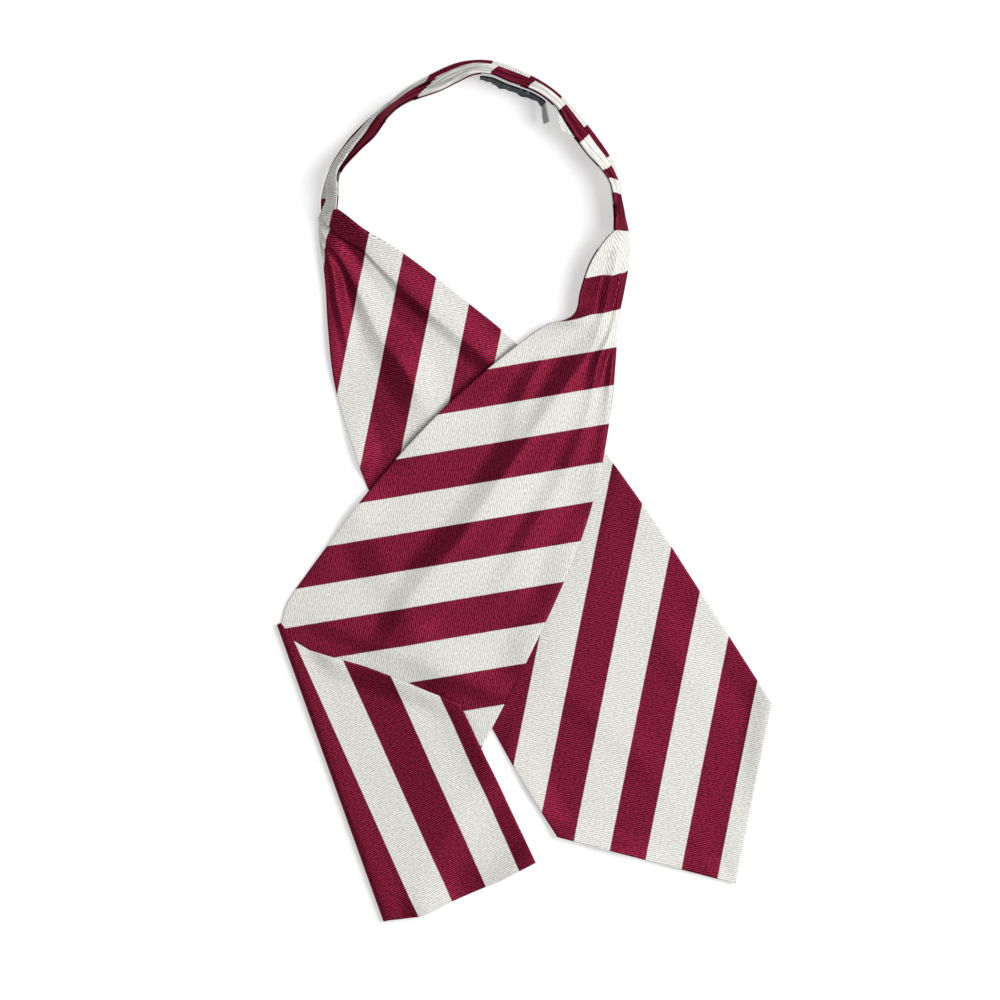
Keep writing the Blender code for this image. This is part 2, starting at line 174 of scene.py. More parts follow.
def under_sheet(k, across):
    row = row_at(UNDER_ROWS, k)
    lift = np.maximum(row.lift, 0.0)
    left = on_page(UNDER_NECK, 1, row.left_along, row.left_out, MID)
    right = on_page(UNDER_NECK, 1, row.right_along, row.right_out, MID + lift)
    p = section(left, right, across, np.maximum(row.curl, 1.0))
    bow = row.point * (1.0 - np.abs(2.0 * across - 1.0))
    p[..., 0] += math.sin(BLADE_TURN) * bow
    p[..., 1] -= math.cos(BLADE_TURN) * bow
    return p


under_tip = under_sheet(UNDER_LAST, 0.5)
under_shoulder = under_sheet(UNDER_LAST, 1.0)
under_low, under_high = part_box("under_blade_back")
page_shift = Vector((under_high[0] - under_shoulder[0] * MM,
                     under_low[1] - under_tip[1] * MM, 0.0))
print("the page moves by", page_shift, "m to lie on the solids")

# %% [markdown]
# ## The over blade's form
#
# It crosses the under blade, so it rides on it and steps down past its edge. Its end is
# folded over along a slanted line and comes back over its own front, then lies down on
# the table beside it. The fold is a tight round bend and not a crease.

# %% The over blade
OverRow = namedtuple("OverRow", "left_along left_out right_along right_out lift curl")
OVER_ROWS = [
    OverRow(2.7, -3.5, -2.6, 3.3, 23.5, 1.0),
    OverRow(12.6, -5.8, 7.0, 10.3, 21.5, 1.0),
    OverRow(27.6, -6.0, 17.2, 15.6, 18.0, 1.1),
    OverRow(45.0, -2.4, 33.0, 22.4, 13.5, 1.3),
    OverRow(54.5, 1.0, 45.0, 26.9, 10.5, 1.5),
    OverRow(61.6, -0.2, 54.8, 31.6, 8.0, 1.7),
    OverRow(72.5, -8.4, 67.0, 38.2, 5.0, 2.0),
    OverRow(91.9, -16.7, 83.0, 46.5, 2.2, 2.3),
    OverRow(115.8, -25.0, 107.2, 57.8, 0.6, 2.5),
    OverRow(143.1, -33.0, 135.0, 68.6, 0.0, 2.5),
    OverRow(180.0, -41.0, 170.0, 78.6, 0.0, 2.5),
    OverRow(216.8, -46.8, 210.0, 85.4, 0.0, 2.5),
    OverRow(252.0, -50.0, 258.0, 90.8, 0.0, 2.5),
    OverRow(280.0, -52.2, 312.4, 94.9, 0.0, 2.5),
    OverRow(300.0, -53.0, 370.0, 98.4, 0.0, 2.5),
    OverRow(313.0, -49.4, 432.8, 102.3, 0.0, 2.5),
]
FULL_RIDE_ROW = 6        # from this row on the blade rides fully on what is below it
FOLD_ROW = len(OVER_ROWS) - 1

EndRow = namedtuple("EndRow", "left_along left_out right_along right_out")
END_ROWS = [
    EndRow(313.0, -49.4, 432.8, 102.3),
    EndRow(318.2, -38.0, 427.6, 109.0),
    EndRow(318.1, -25.9, 420.9, 116.8),
    EndRow(308.3, 8.3, 398.0, 132.4),
    EndRow(302.0, 39.8, 376.2, 147.6),
    EndRow(296.9, 69.3, 355.0, 160.2),
]
END_FIRST = FOLD_ROW + 1
END_LAST = END_FIRST + len(END_ROWS) - 1
BEND = 1.9               # radius of the fold
PRESS = 16.0             # distance over which the turned end settles from the fold

under_left = [[r.left_along for r in UNDER_ROWS], [r.left_out for r in UNDER_ROWS]]
over_right = [[r.right_along for r in OVER_ROWS], [r.right_out for r in OVER_ROWS]]
over_left = [[r.left_along for r in OVER_ROWS], [r.left_out for r in OVER_ROWS]]


def ride(p):
    """How far cloth at a place on the page is lifted by the under blade below it."""
    along, out = from_page(UNDER_NECK, 1, p)
    inside = out - np.interp(along, *under_left)
    return OVER_LIFT * ease((inside + EDGE_CLEAR + STEP_DOWN) / STEP_DOWN)


def over_flat(k, across):
    row = row_at(OVER_ROWS, k)
    lift = np.maximum(row.lift, 0.0)
    left = on_page(OVER_NECK, -1, row.left_along, row.left_out, MID + lift)
    right = on_page(OVER_NECK, -1, row.right_along, row.right_out, MID)
    p = section(left, right, across, np.maximum(row.curl, 1.0))
    p[..., 2] += ride(p) * ease(k / FULL_RIDE_ROW)
    return p


fold_left, fold_right = (on_page(OVER_NECK, -1, *end)[:2] for end in (
    (END_ROWS[0].left_along, END_ROWS[0].left_out),
    (END_ROWS[0].right_along, END_ROWS[0].right_out)))
fold_line = (fold_right - fold_left) / np.linalg.norm(fold_right - fold_left)


def over_fold(k, across):
    turn = math.pi * (k - FOLD_ROW)
    start = mix(fold_left, fold_right, across[..., None])
    height = MID + ride(start) + BEND * (1.0 - np.cos(turn))
    reach = BEND * np.sin(turn)
    return point(start[..., 0] + fold_line[1] * reach,
                 start[..., 1] - fold_line[0] * reach, height)


def over_end(k, across):
    row = straight_row_at(END_ROWS, k - END_FIRST)
    along = mix(row.left_along, row.right_along, across)
    out = mix(row.left_out, row.right_out, across)
    p = on_page(OVER_NECK, -1, along, out)
    x, y = p[..., 0] - fold_left[0], p[..., 1] - fold_left[1]
    from_fold = y * fold_line[0] - x * fold_line[1]
    spare = (2.0 * BEND - OVER_LIFT - GAP) * (1.0 - ease(from_fold / PRESS)) + GAP
    past = out - np.interp(along, *over_right)
    down = 1.0 - ease((past - EDGE_CLEAR / 2.0) / STEP_DOWN)
    p[..., 2] = MID + (ride(p) + OVER_LIFT + spare) * down
    return p


def over_sheet(k, across):
    """The over blade, round its fold and back over its own front."""
    k, across = np.broadcast_arrays(np.asarray(k, float), np.asarray(across, float))
    p = np.empty(k.shape + (3,))
    flat, end = k <= FOLD_ROW, k >= END_FIRST
    for part, form in ((flat, over_flat), (~flat & ~end, over_fold), (end, over_end)):
        p[part] = form(k[part], across[part])
    return p


print("fold from", fold_left.round(1), "to", fold_right.round(1), "mm on the page")

# %% [markdown]
# ## The neckband's form
#
# The band is 25 mm wide and stands on one edge, leaning into the loop, so from above it
# shows less than half its width. Long tucks run round it. Where it meets the under blade
# its edge is turned over, which ends in a slanted fold.

# %% The neckband
BAND_WIDTH = 25.0
OUTER_INSET = 1.2        # the face and the facing stand outside this sheet, so it is
INNER_INSET = 0.6        # drawn in by so much from the outline that shows
BandRow = namedtuple("BandRow", "outer_x outer_y inner_x inner_y turn_share")
BAND_ROWS = [
    BandRow(-125.3, 169.3, -114.5, 172.9, 1.00),
    BandRow(-124.5, 181.3, -113.0, 182.1, 1.00),
    BandRow(-122.0, 191.6, -112.8, 190.4, 1.00),
    BandRow(-117.5, 202.7, -110.2, 197.6, 0.96),
    BandRow(-109.8, 214.2, -99.8, 208.8, 0.72),
    BandRow(-103.2, 221.7, -90.9, 217.2, 0.56),
    BandRow(-93.4, 231.1, -84.8, 225.8, 0.40),
    BandRow(-83.0, 239.4, -77.4, 233.4, 0.16),
    BandRow(-72.3, 247.9, -67.2, 238.9, 0.0),
    BandRow(-58.8, 255.8, -52.4, 243.9, 0.0),
    BandRow(-43.5, 262.8, -40.8, 249.6, 0.0),
    BandRow(-30.9, 265.1, -30.8, 254.2, 0.0),
    BandRow(-18.7, 264.4, -20.7, 254.0, 0.0),
    BandRow(-5.3, 259.9, -10.0, 249.6, 0.0),
    BandRow(10.6, 251.8, 6.0, 243.8, 0.0),
    BandRow(22.7, 242.6, 17.6, 235.0, 0.0),
    BandRow(34.6, 229.8, 27.0, 220.4, 0.0),
    BandRow(45.1, 216.4, 36.4, 206.9, 0.0),
    BandRow(53.0, 204.4, 45.4, 197.0, 0.0),
    BandRow(58.3, 192.6, 50.8, 189.0, 0.0),
    BandRow(60.3, 181.0, 52.6, 180.2, 0.0),
    BandRow(61.8, 170.5, 53.6, 170.3, 0.0),
    BandRow(62.6, 160.8, 54.1, 159.9, 0.0),
]
BAND_LAST = len(BAND_ROWS) - 1


def band_sheet(k, across):
    """Across runs from the band's outer edge on the table to its inner edge, and past that
    edge it runs level into the loop."""
    row = row_at(BAND_ROWS, k)
    outer = point(row.outer_x, row.outer_y, MID)
    inner = point(row.inner_x, row.inner_y, MID)
    inward = inner - outer
    inward = inward / np.linalg.norm(inward, axis=-1, keepdims=True)
    off_seams = (ease(k) * ease(BAND_LAST - k))[..., None]
    outer = outer + inward * OUTER_INSET * off_seams
    inner = inner - inward * INNER_INSET * off_seams
    plan = np.linalg.norm(inner - outer, axis=-1)
    inner[..., 2] += np.sqrt(BAND_WIDTH ** 2 - plan ** 2)
    up, level = np.minimum(across, 1.0)[..., None], np.maximum(across - 1.0, 0.0)[..., None]
    return mix(outer, inner, up) + inward * BAND_WIDTH * level


band_middle = band_sheet(np.linspace(0.0, BAND_LAST, 200), np.full(200, 0.5))
band_length = np.linalg.norm(np.diff(band_middle, axis=0), axis=1).sum()
print("neckband length", round(band_length), "mm round its middle")

# %% [markdown]
# ## Folds laid one by one
#
# Silk doesn't fold evenly: each fold starts somewhere, leans one way and fades out again.
# So each is given as a row of places on its crest. It falls away steeply on the
# side turned from the light and roundly on the side turned to it, which gives its shadow
# one crisp edge and one soft one, as in the photo.

# %% Folds laid one by one
Station = namedtuple("Station", "along out rise dark lit")
FOLD_BLUR = 11           # millimetres over which a fold's stations are run together
SHARP = 0.7              # 0 for a round crest, 1 for one that breaks off at once
FULLNESS = 1.7           # folds stand this much higher than their stations say
LIT_EASE = 1.5           # and fall away this much further on the lit side


def fold(*stations):
    return [Station(*s) for s in stations]


def station_curves(stations, along):
    """A fold's stations as smooth curves, read at any distance along the blade."""
    table = np.array(stations, float)
    reach = np.arange(table[0, 0] - FOLD_BLUR, table[-1, 0] + FOLD_BLUR, 1.0)
    window = np.hanning(FOLD_BLUR + 2)[1:-1]
    window /= window.sum()
    curves = []
    for column in table.T[1:]:
        fine = np.pad(np.interp(reach, table[:, 0], column), FOLD_BLUR // 2, mode="edge")
        smooth = np.convolve(fine, window, "valid")
        curves.append((np.interp(along, reach, smooth), np.interp(along + 1.0, reach, smooth)))
    return curves


def fold_height(folds, along, out):
    """The sum of soft folds. Each is a row of stations on its crest: how high it stands there,
    and how far it falls away on the side turned from the light and on the side turned to it."""
    total = np.zeros(np.shape(along))
    for stations in folds:
        crest, rise, dark, lit = station_curves(stations, along)
        lit = [LIT_EASE * side for side in lit]
        lean = 1.0 / np.hypot(1.0, crest[1] - crest[0])
        aside = (out - crest[0]) * lean
        width = np.where(aside < 0.0, dark[0], lit[0])
        x = np.clip(np.abs(aside) / width, 0.0, 1.0)
        round_fall = np.cos(math.pi / 2.0 * x) ** 2
        steep_fall = mix(round_fall, 1.0 - np.sin(math.pi / 2.0 * x), SHARP)
        total += FULLNESS * rise[0] * np.where(aside < 0.0, steep_fall, round_fall)
    return total


# %% [markdown]
# ## Laying cloth on a form
#
# Each panel starts as a grid, because cloth is a grid of threads. The grid is laid on its
# form, every point is moved out along the cloth's own normal to the panel's outer side,
# and the shell gets its thickness inward. Near an edge the offset shrinks in a quarter
# round, so that the face and the back roll together as a pressed silk edge does.

# %% Grids and rolled edges
NEAR_EDGE = (0.0, 0.12, 0.4, 0.85, 1.5, 2.4)     # columns this far in carry an edge's roll


def shares(length, count):
    """Shares of a length, close together near both ends and even between them."""
    length = np.atleast_1d(np.asarray(length, float))[:, None]
    near = np.array(NEAR_EDGE)[None, :] / length
    first, last = near[:, -1:], 1.0 - near[:, -1:]
    even = mix(first, last, np.linspace(0.0, 1.0, count + 1)[None, 1:-1])
    return np.concatenate([near, even, 1.0 - near[:, ::-1]], axis=1)


def roll(distance, radius=EDGE_RADIUS):
    """From 0 at an edge to 1 a radius in, as a quarter round."""
    near = 1.0 - np.clip(distance / radius, 0.0, 1.0)
    return np.sqrt(np.maximum(1.0 - near ** 2, 0.0))


def edge_distances(grid):
    """Distances in millimetres from every point of a laid grid to its left edge, right edge
    and last row."""
    across = np.cumsum(np.linalg.norm(np.diff(grid, axis=1), axis=2), axis=1)
    across = np.pad(across, ((0, 0), (1, 0)))
    down = np.cumsum(np.linalg.norm(np.diff(grid, axis=0), axis=2), axis=0)
    down = np.pad(down, ((1, 0), (0, 0)))
    return across, across[:, -1:] - across, down[-1:] - down


def nearest_edge(grid, last_row=True):
    left, right, bottom = edge_distances(grid)
    nearest = np.minimum(left, right)
    return np.minimum(nearest, bottom) if last_row else nearest


def grid_normals(grid, up):
    """The cloth's own normals, taken from its neighbours in both directions."""
    n = np.cross(np.gradient(grid, axis=0), np.gradient(grid, axis=1))
    n = n / np.linalg.norm(n, axis=-1, keepdims=True)
    return n if up else -n


# %% From a grid to cloth
def lay_cloth(name, grid, rise, facing_up, stripes_at, weave_at=None, skin=SKIN, normals=None):
    """A shell on a grid of points in millimetres. rise is how far each point moves out
    along the normal, and the two maps hold the cloth's own places in millimetres."""
    rows, columns = grid.shape[:2]
    normals = grid_normals(grid, facing_up) if normals is None else normals
    laid = grid + normals * rise[..., None]
    bm = bmesh.new()
    bmesh.ops.create_grid(bm, x_segments=columns - 1, y_segments=rows - 1, size=0.5)
    bm.verts.ensure_lookup_table()
    places = [(round((v.co.y + 0.5) * (rows - 1)), round((v.co.x + 0.5) * (columns - 1)))
              for v in bm.verts]
    for v, place in zip(bm.verts, places):
        v.co = laid[place]
    if facing_up:
        bmesh.ops.reverse_faces(bm, faces=bm.faces[:])
    for map_name, spots in (("stripes", stripes_at), ("weave", weave_at)):
        layer = bm.loops.layers.uv.new(map_name)
        spots = stripes_at if spots is None else spots
        for face in bm.faces:
            for loop in face.loops:
                loop[layer].uv = spots[places[loop.vert.index]] * MM
    bmesh.ops.scale(bm, vec=(MM, MM, MM), verts=bm.verts[:])
    bmesh.ops.translate(bm, vec=page_shift, verts=bm.verts[:])
    mesh = bpy.data.meshes.new(name)
    bm.to_mesh(mesh)
    bm.free()
    mesh.shade_smooth()
    piece = bpy.data.objects.new(name, mesh)
    bpy.context.scene.collection.objects.link(piece)
    wall = piece.modifiers.new("cloth_wall", "SOLIDIFY")
    wall.thickness = skin * MM
    wall.offset = -1.0
    area = sum(p.area for p in mesh.polygons)
    print(name, rows, "by", columns, "points,", round(area * 1e4, 1), "cm2 of cloth")
    return piece

# %% [markdown]
# ## Where the stripes lie
#
# The silk is woven in equal maroon and ivory stripes 22.65 mm wide. Each panel is cut
# its own way, so each has its own stripe direction, and on the table the stripes of one
# panel read as straight lines. A map in millimetres holds them: its first number counts
# across the stripes from an edge where maroon gives way to ivory, its second runs along.

# %% Stripe maps
STRIPE = 22.65
Lay = namedtuple("Lay", "x y across_x across_y")
UNDER_LAY = Lay(-105.67, 106.22, 0.980, -0.199)
OVER_LAY = Lay(-64.28, 46.22, 0.166, -0.986)
END_LAY = Lay(-124.89, -126.42, 0.912, 0.410)
BAND_LAY = Lay(-209.4, 80.7, 0.740, -0.670)
SHIFT_UNDER = 15.0       # below the over blade the under blade's stripes step sideways


def stripe_map(lay, grid):
    x, y = grid[..., 0] - lay.x, grid[..., 1] - lay.y
    return np.stack([x * lay.across_x + y * lay.across_y,
                     y * lay.across_x - x * lay.across_y], axis=-1)


def across_over(grid):
    """0 at the over blade's left edge and 1 at its right edge, for any place on the page."""
    along, out = from_page(OVER_NECK, -1, grid)
    left, right = np.interp(along, *over_left), np.interp(along, *over_right)
    return (out - left) / (right - left)


for panel, lay in (("under", UNDER_LAY), ("over", OVER_LAY), ("end", END_LAY), ("band", BAND_LAY)):
    turn = round(math.degrees(math.atan2(lay.across_y, lay.across_x)))
    print(panel, "stripes are counted at", turn, "degrees on the page")

# %% [markdown]
# ## Edges, seams and lifted hems
#
# A blade's two panels are sewn together and turned, so at an edge both roll over and meet.
# That edge is stiffer than the cloth and never lies quite down: it stands off the table in
# some places and touches it in others. Where a blade is sewn to the band, both take one
# shared direction, or the seam would gape.

# %% Edges, seams and lifted hems
HAIR = 0.02              # space kept between two skins that meet at an edge
EDGE_LIFT = 4.2          # how far a free edge stands off what it lies on
LIFT_REACH = 20.0        # how far in from the edge it comes back down
THROUGH = 0.6            # share of a face's folds that its back panel follows
SEAM_ROWS = 1.2          # rows beside a seam over which the cloth turns to it
LIFT_MEAN, LIFT_LEAST = 0.6, 0.1
LIFT_WAVES = ((0.3, 21.0, 1.0), (0.25, 9.3, 2.0))        # share, millimetres, turns of phase


def wall(edge):
    """A panel's outer side, measured from the middle of its blade or band."""
    return mix(SKIN + HAIR, GAP / 2 + PLY, edge)


def lifted(distance, run, phase):
    """Free edges stand a little off the table, more in some places than in others. phase
    sets where, so that no two edges rise at the same places."""
    uneven = sum((share * np.sin(run / length + turns * phase)
                  for share, length, turns in LIFT_WAVES), LIFT_MEAN)
    return EDGE_LIFT * np.maximum(uneven, LIFT_LEAST) * (1.0 - ease(distance / LIFT_REACH))


def seam_normals(grid, up, *seams):
    """Normals that turn to a seam's shared one in the last rows before it."""
    n = grid_normals(grid, up)
    for rows_off, seam in seams:
        n = mix(n, seam if up else -seam, (1.0 - ease(rows_off / SEAM_ROWS))[..., None])
    return n / np.linalg.norm(n, axis=-1, keepdims=True)


def shared_normal(blade_row, band_row, step, turned):
    """The seam's normal: halfway between the blade's and the band's, and square to the seam."""
    blade = blade_row(np.array([0.0, 0.1]))
    band = band_sheet(np.array([band_row, band_row + step]), np.full(2, 0.5))
    run = blade[1] - blade[0]
    run = run / np.linalg.norm(run) - (band[1] - band[0]) / np.linalg.norm(band[1] - band[0])
    chord = turned * (band_sheet(band_row, 1.0) - band_sheet(band_row, 0.0))
    n = np.cross(run, chord)
    return n / np.linalg.norm(n)


under_seam = shared_normal(lambda k: under_sheet(k, np.full(2, 0.5)), 0.0, 0.1, 1.0)
over_seam = shared_normal(lambda k: over_sheet(k, np.full(2, 0.5)), BAND_LAST, -0.1, -1.0)
print("seam normals", under_seam.round(2), over_seam.round(2))

# %% [markdown]
# ## The under blade's folds
#
# Three pleats leave its neck, where the cloth was gathered into the band. Light from the
# upper right leaves their lower left sides dark: the first is a sharp line at the neck
# that opens into a soft shadow. Lower down the cloth only heaves a little, in three long
# shallow swells.

# %% The under blade's folds
UNDER_FOLDS = [
    fold(
        (0, 4.3, 1.2, 1.8, 6), (6, 4.6, 1.5, 2, 7), (14, 5.9, 1.6, 2.2, 7), (19, 7.7, 1.6, 2.4, 8),
        (24, 10.4, 1.5, 2.6, 8), (29, 13.2, 1.4, 2.8, 9), (38, 14.4, 1.4, 3, 10),
        (48, 16.7, 1.9, 4, 11), (55, 18.4, 2.4, 5, 12), (64, 20, 2.8, 6.5, 13),
        (76, 23.6, 2.9, 7.5, 13), (89, 27.8, 2.7, 8, 13), (101, 31.5, 2.5, 8.5, 13),
        (115, 36, 2.2, 9, 12), (131, 41, 1.5, 9, 10), (150, 46, 0, 9, 10)),
    fold(
        (0, 0.6, 0.6, 2, 4), (4, -0.5, 1.0, 2.4, 5), (11, -0.6, 1.5, 3.2, 5),
        (22, -0.9, 2.0, 4.5, 5.5), (30, -1.5, 2.2, 5.5, 6), (45, -3.4, 2.1, 6.5, 7),
        (52, -4, 2.2, 7.5, 8), (64, -6, 2.4, 9, 10), (78, -8, 2.9, 11, 12),
        (88, -7.5, 3.6, 13, 14), (100, -6.5, 4.1, 16, 15), (112, -6, 3.5, 17, 15),
        (125, -7, 1.9, 17, 13), (145, -8, 0, 16, 12)),
    fold(
        (6, -2.6, 0, 2, 3), (10, -3.4, 1.0, 2.4, 4), (16, -5, 1.3, 2.8, 4),
        (26, -7.5, 1.8, 3.3, 4), (36, -12, 1.8, 4, 4.5), (46, -17.5, 1.5, 4.5, 5),
        (65, -24, 0.9, 5, 6), (80, -29, 0.3, 5, 6), (95, -33, 0, 5, 6)),
    fold((300, -34, 0, 12, 14), (340, -22, 0.5, 15, 16), (372, -12, 0.5, 15, 14),
         (410, -8, 0.2, 12, 12)),
    fold((285, 50, 0, 14, 14), (330, 40, 0.45, 16, 18), (368, 42, 0.4, 15, 14),
         (400, 46, 0, 12, 12)),
    fold((190, 46, 0, 12, 12), (222, 52, 0.5, 14, 12), (250, 58, 0, 12, 10)),
]
print(len(UNDER_FOLDS), "folds on the under blade")

# %% [markdown]
# ## The under blade's panels
#
# The face takes all the folds. The back panel follows the same gathers, a little less,
# because both were caught in one seam. The left edge and the point stand up to about five
# millimetres off the table, the right edge lies nearly down, and where the other blade
# lies on it the face is pressed down.

# %% The under blade's panels
PRESSED = 0.6            # how far the over blade presses the face down
RIGHT_LIFT = 0.25        # the right edge's share of a free edge's lift
COVER_MARGIN, COVER_EDGE = 0.13, 0.10            # as shares of the over blade's width
UNDER_LIFT_ROWS = 3.0    # the edges rise over the first rows from the neck
UNDER_WIDE = 6.0         # up to this row the blade widens and folds most, so rows are close
BLADE_COLUMNS = 84
BLADE_NARROWEST = 8.0
HEM = 0.1                # the last part of a row, where rows crowd to roll the cut end over
under_hem = np.array([0.0, 0.25, 0.45, 0.62, 0.76, 0.87, 0.95, 1.0])
under_rows = np.concatenate([
    np.linspace(0.0, UNDER_WIDE, 120)[:-1],
    np.linspace(UNDER_WIDE, UNDER_LAST - HEM, 96)[:-1],
    UNDER_LAST - HEM + HEM * under_hem])[:, None]


def under_grid(rows, count):
    row = row_at(UNDER_ROWS, rows[:, 0])
    width = np.hypot(row.right_out - row.left_out, row.lift)
    across = shares(np.maximum(width, BLADE_NARROWEST), count)
    return under_sheet(np.broadcast_to(rows, across.shape), across)


grid = under_grid(under_rows, BLADE_COLUMNS)
along, out = from_page(UNDER_NECK, 1, grid)
left, right, bottom = edge_distances(grid)
edge = roll(nearest_edge(grid))
over_share = across_over(grid)
covered = (ease((over_share + COVER_MARGIN) / COVER_EDGE)
           * ease((1.0 + COVER_MARGIN - over_share) / COVER_EDGE))
under_over = ease(over_share / COVER_EDGE) * ease((1.0 - over_share) / COVER_EDGE)
lift = (lifted(left, along, 0.0) + RIGHT_LIFT * lifted(right, along, 2.0)
        + lifted(bottom, out, 4.0))
lift = lift * (1.0 - covered) * ease(under_rows / UNDER_LIFT_ROWS)
folds = fold_height(UNDER_FOLDS, along, out) * edge * (1.0 - under_over)
lay = stripe_map(UNDER_LAY, grid)
lay[..., 0] -= SHIFT_UNDER * ease(over_share)
under_face = lay_cloth("under_blade_front_silk", grid,
                       wall(edge) + folds + lift - PRESSED * covered * edge, True, lay,
                       normals=seam_normals(grid, True, (under_rows, under_seam)))
under_back = lay_cloth("under_blade_back_silk", grid,
                       wall(edge) - THROUGH * folds - lift, False,
                       stripe_map(UNDER_LAY, grid),
                       normals=seam_normals(grid, False, (under_rows, under_seam)))

# %% [markdown]
# ## The over blade's folds
#
# One long fold starts at the neck and wanders down the blade's middle, with its shadow on
# the lower left. A second runs to the right of it, and three short ones lie beside them.
# Next to the turned end the face dips towards its edge. The turned end itself is pressed
# nearly flat and only heaves in two shallow swells.

# %% The over blade's folds
OVER_FOLDS = [
    fold(
        (0, -2.2, 1.2, 2, 5), (4, -0.9, 1.6, 2.2, 6), (13, 1, 2.2, 3, 7), (19, 3.8, 2.4, 3.2, 8),
        (24, 6, 2.6, 3.5, 8), (31, 8.2, 2.8, 4, 9), (38, 11.2, 2.8, 5, 9),
        (48, 15.6, 2.2, 4.5, 10), (55, 18, 2.2, 7, 11), (63, 20.8, 2.4, 11, 12),
        (72, 22, 3.0, 15, 13), (85, 21.8, 3.7, 19, 15), (99, 21, 4.1, 20, 17),
        (115, 20, 4.2, 18, 18), (130, 19.2, 4.1, 16, 18), (153, 18.4, 4.0, 16, 18),
        (175, 17.2, 4.0, 16, 18), (201, 16.6, 4.0, 16.5, 19), (215, 15.8, 4.0, 17, 19),
        (230, 12.8, 3.9, 16.5, 19), (243, 10.6, 3.5, 16, 18), (257, 9.4, 2.9, 15, 17),
        (270, 10, 2.1, 14, 16), (290, 11, 0.8, 12, 14), (305, 11, 0, 11, 13)),
    fold(
        (80, 3, 0, 8, 6), (92, 1.3, 1.0, 10, 7), (106, 0.6, 1.6, 12, 8), (117, 2.2, 1.6, 12, 8),
        (129, 4.1, 1.3, 11, 8), (144, 7.5, 0.7, 10, 8), (156, 9, 0, 10, 8)),
    fold(
        (4, 4, 0, 1.8, 3), (12, 7.6, 0.9, 2, 3), (20, 11.6, 1.3, 2.2, 3), (30, 16.2, 1.3, 2.4, 3),
        (40, 20.6, 1.3, 2.6, 3), (48, 24, 1.2, 2.8, 3.3), (56, 26.8, 1.3, 3.2, 3.6),
        (63, 28, 1.5, 3.5, 4), (72, 29.2, 1.7, 4.5, 4.5), (80, 31.8, 1.8, 6, 5),
        (87, 34.6, 1.8, 8, 6), (97, 38.8, 1.9, 10, 7), (113, 43.4, 2.0, 12, 9),
        (129, 46.4, 2.0, 13, 10), (138, 48.3, 1.8, 13, 11), (153, 49, 1.5, 12, 11),
        (178, 49.4, 1.2, 12, 12), (205, 51.6, 1.0, 13, 12), (225, 53.5, 0.6, 13, 12),
        (245, 54, 0, 12, 12)),
    fold(
        (56, 31.6, 0, 2.5, 3), (66, 35.4, 1.1, 3.5, 3), (76, 40, 1.4, 5, 3.5),
        (88, 45.6, 1.4, 7, 4.5), (100, 51, 1.0, 8, 6), (115, 57, 0.5, 8, 6), (130, 61, 0, 8, 6)),
    fold((196, 58, 0, 9, 9), (222, 66, 0.5, 11, 10), (252, 72, 0, 9, 9)),
]
# Beside the turned end the blade's face dips towards its edge. These stations run across
# the blade, so that their along is its out, and their out is its along turned about
DIP_FOLDS = [
    fold(
        (-46, -304, 0, 9, 16), (-28, -300, 0.7, 10, 18), (12, -293, 1.2, 11, 20),
        (52, -286, 1.5, 11, 20), (84, -281, 1.1, 10, 18), (100, -279, 0.4, 9, 16)),
]
END_FOLDS = [
    fold((20, -30, 0, 16, 20), (60, -24, 0.55, 20, 24), (110, -20, 0.45, 18, 22),
         (150, -16, 0.1, 16, 18)),
    fold((30, 40, 0, 18, 14), (80, 34, 0.45, 22, 18), (130, 38, 0, 18, 14)),
]

print(len(OVER_FOLDS) + len(DIP_FOLDS), "folds on the over blade,", len(END_FOLDS), "on its end")

# %% [markdown]
# ## The over blade's panels
#
# One grid runs down the blade, round its fold and back, as the cloth does. On the turned
# end the front panel lies below the back one, and stays a little inside it. The back
# panel's stripes are laid by the turned end, where they show, and run on beneath the
# blade. The front panel's are laid by the blade and run on below its end.

# %% The over blade's panels
END_LIFT = 1.4           # the turned end's sides stand this much higher than other edges
END_EDGE_LIFT = 0.15     # but its cut edge lies nearly flat
END_INSET = 0.7          # on the turned end the front panel below stays inside the back one
END_BELOW = 0.3          # share of the turned end's folds that the panel below follows
FREE_UNTIL, FREE_OVER = 248.0, 36.0      # the sides lie free up to here, and settle over this
OVER_LIFT_ROWS = 5.0
OVER_WIDE = 8.0
NECK_SHIFT, NECK_SHIFT_ROWS = 2.6, 1.5   # gathered cloth draws the stripes down at the neck
over_hem = np.array([0.0, 0.3, 0.55, 0.72, 0.86, 0.95, 1.0])
over_rows = np.concatenate([
    np.linspace(0.0, OVER_WIDE, 130)[:-1], np.linspace(OVER_WIDE, FOLD_ROW, 90)[:-1],
    np.linspace(FOLD_ROW, END_FIRST, 17)[:-1],
    np.linspace(END_FIRST, END_LAST - HEM, 62)[:-1],
    END_LAST - HEM + HEM * over_hem])[:, None]


def over_grid(rows, count):
    ends = over_sheet(rows, np.array([[0.0, 1.0]]))
    width = np.linalg.norm(ends[:, 1] - ends[:, 0], axis=-1)
    across = shares(np.maximum(width, BLADE_NARROWEST), count)
    return over_sheet(np.broadcast_to(rows, across.shape), across)


def unfolded(grid):
    """The turned end's places, opened out again about the fold."""
    rel = grid[..., :2] - fold_left
    run = rel @ fold_line
    return np.concatenate([2.0 * run[..., None] * fold_line + 2.0 * fold_left - grid[..., :2],
                           grid[..., 2:]], axis=-1)


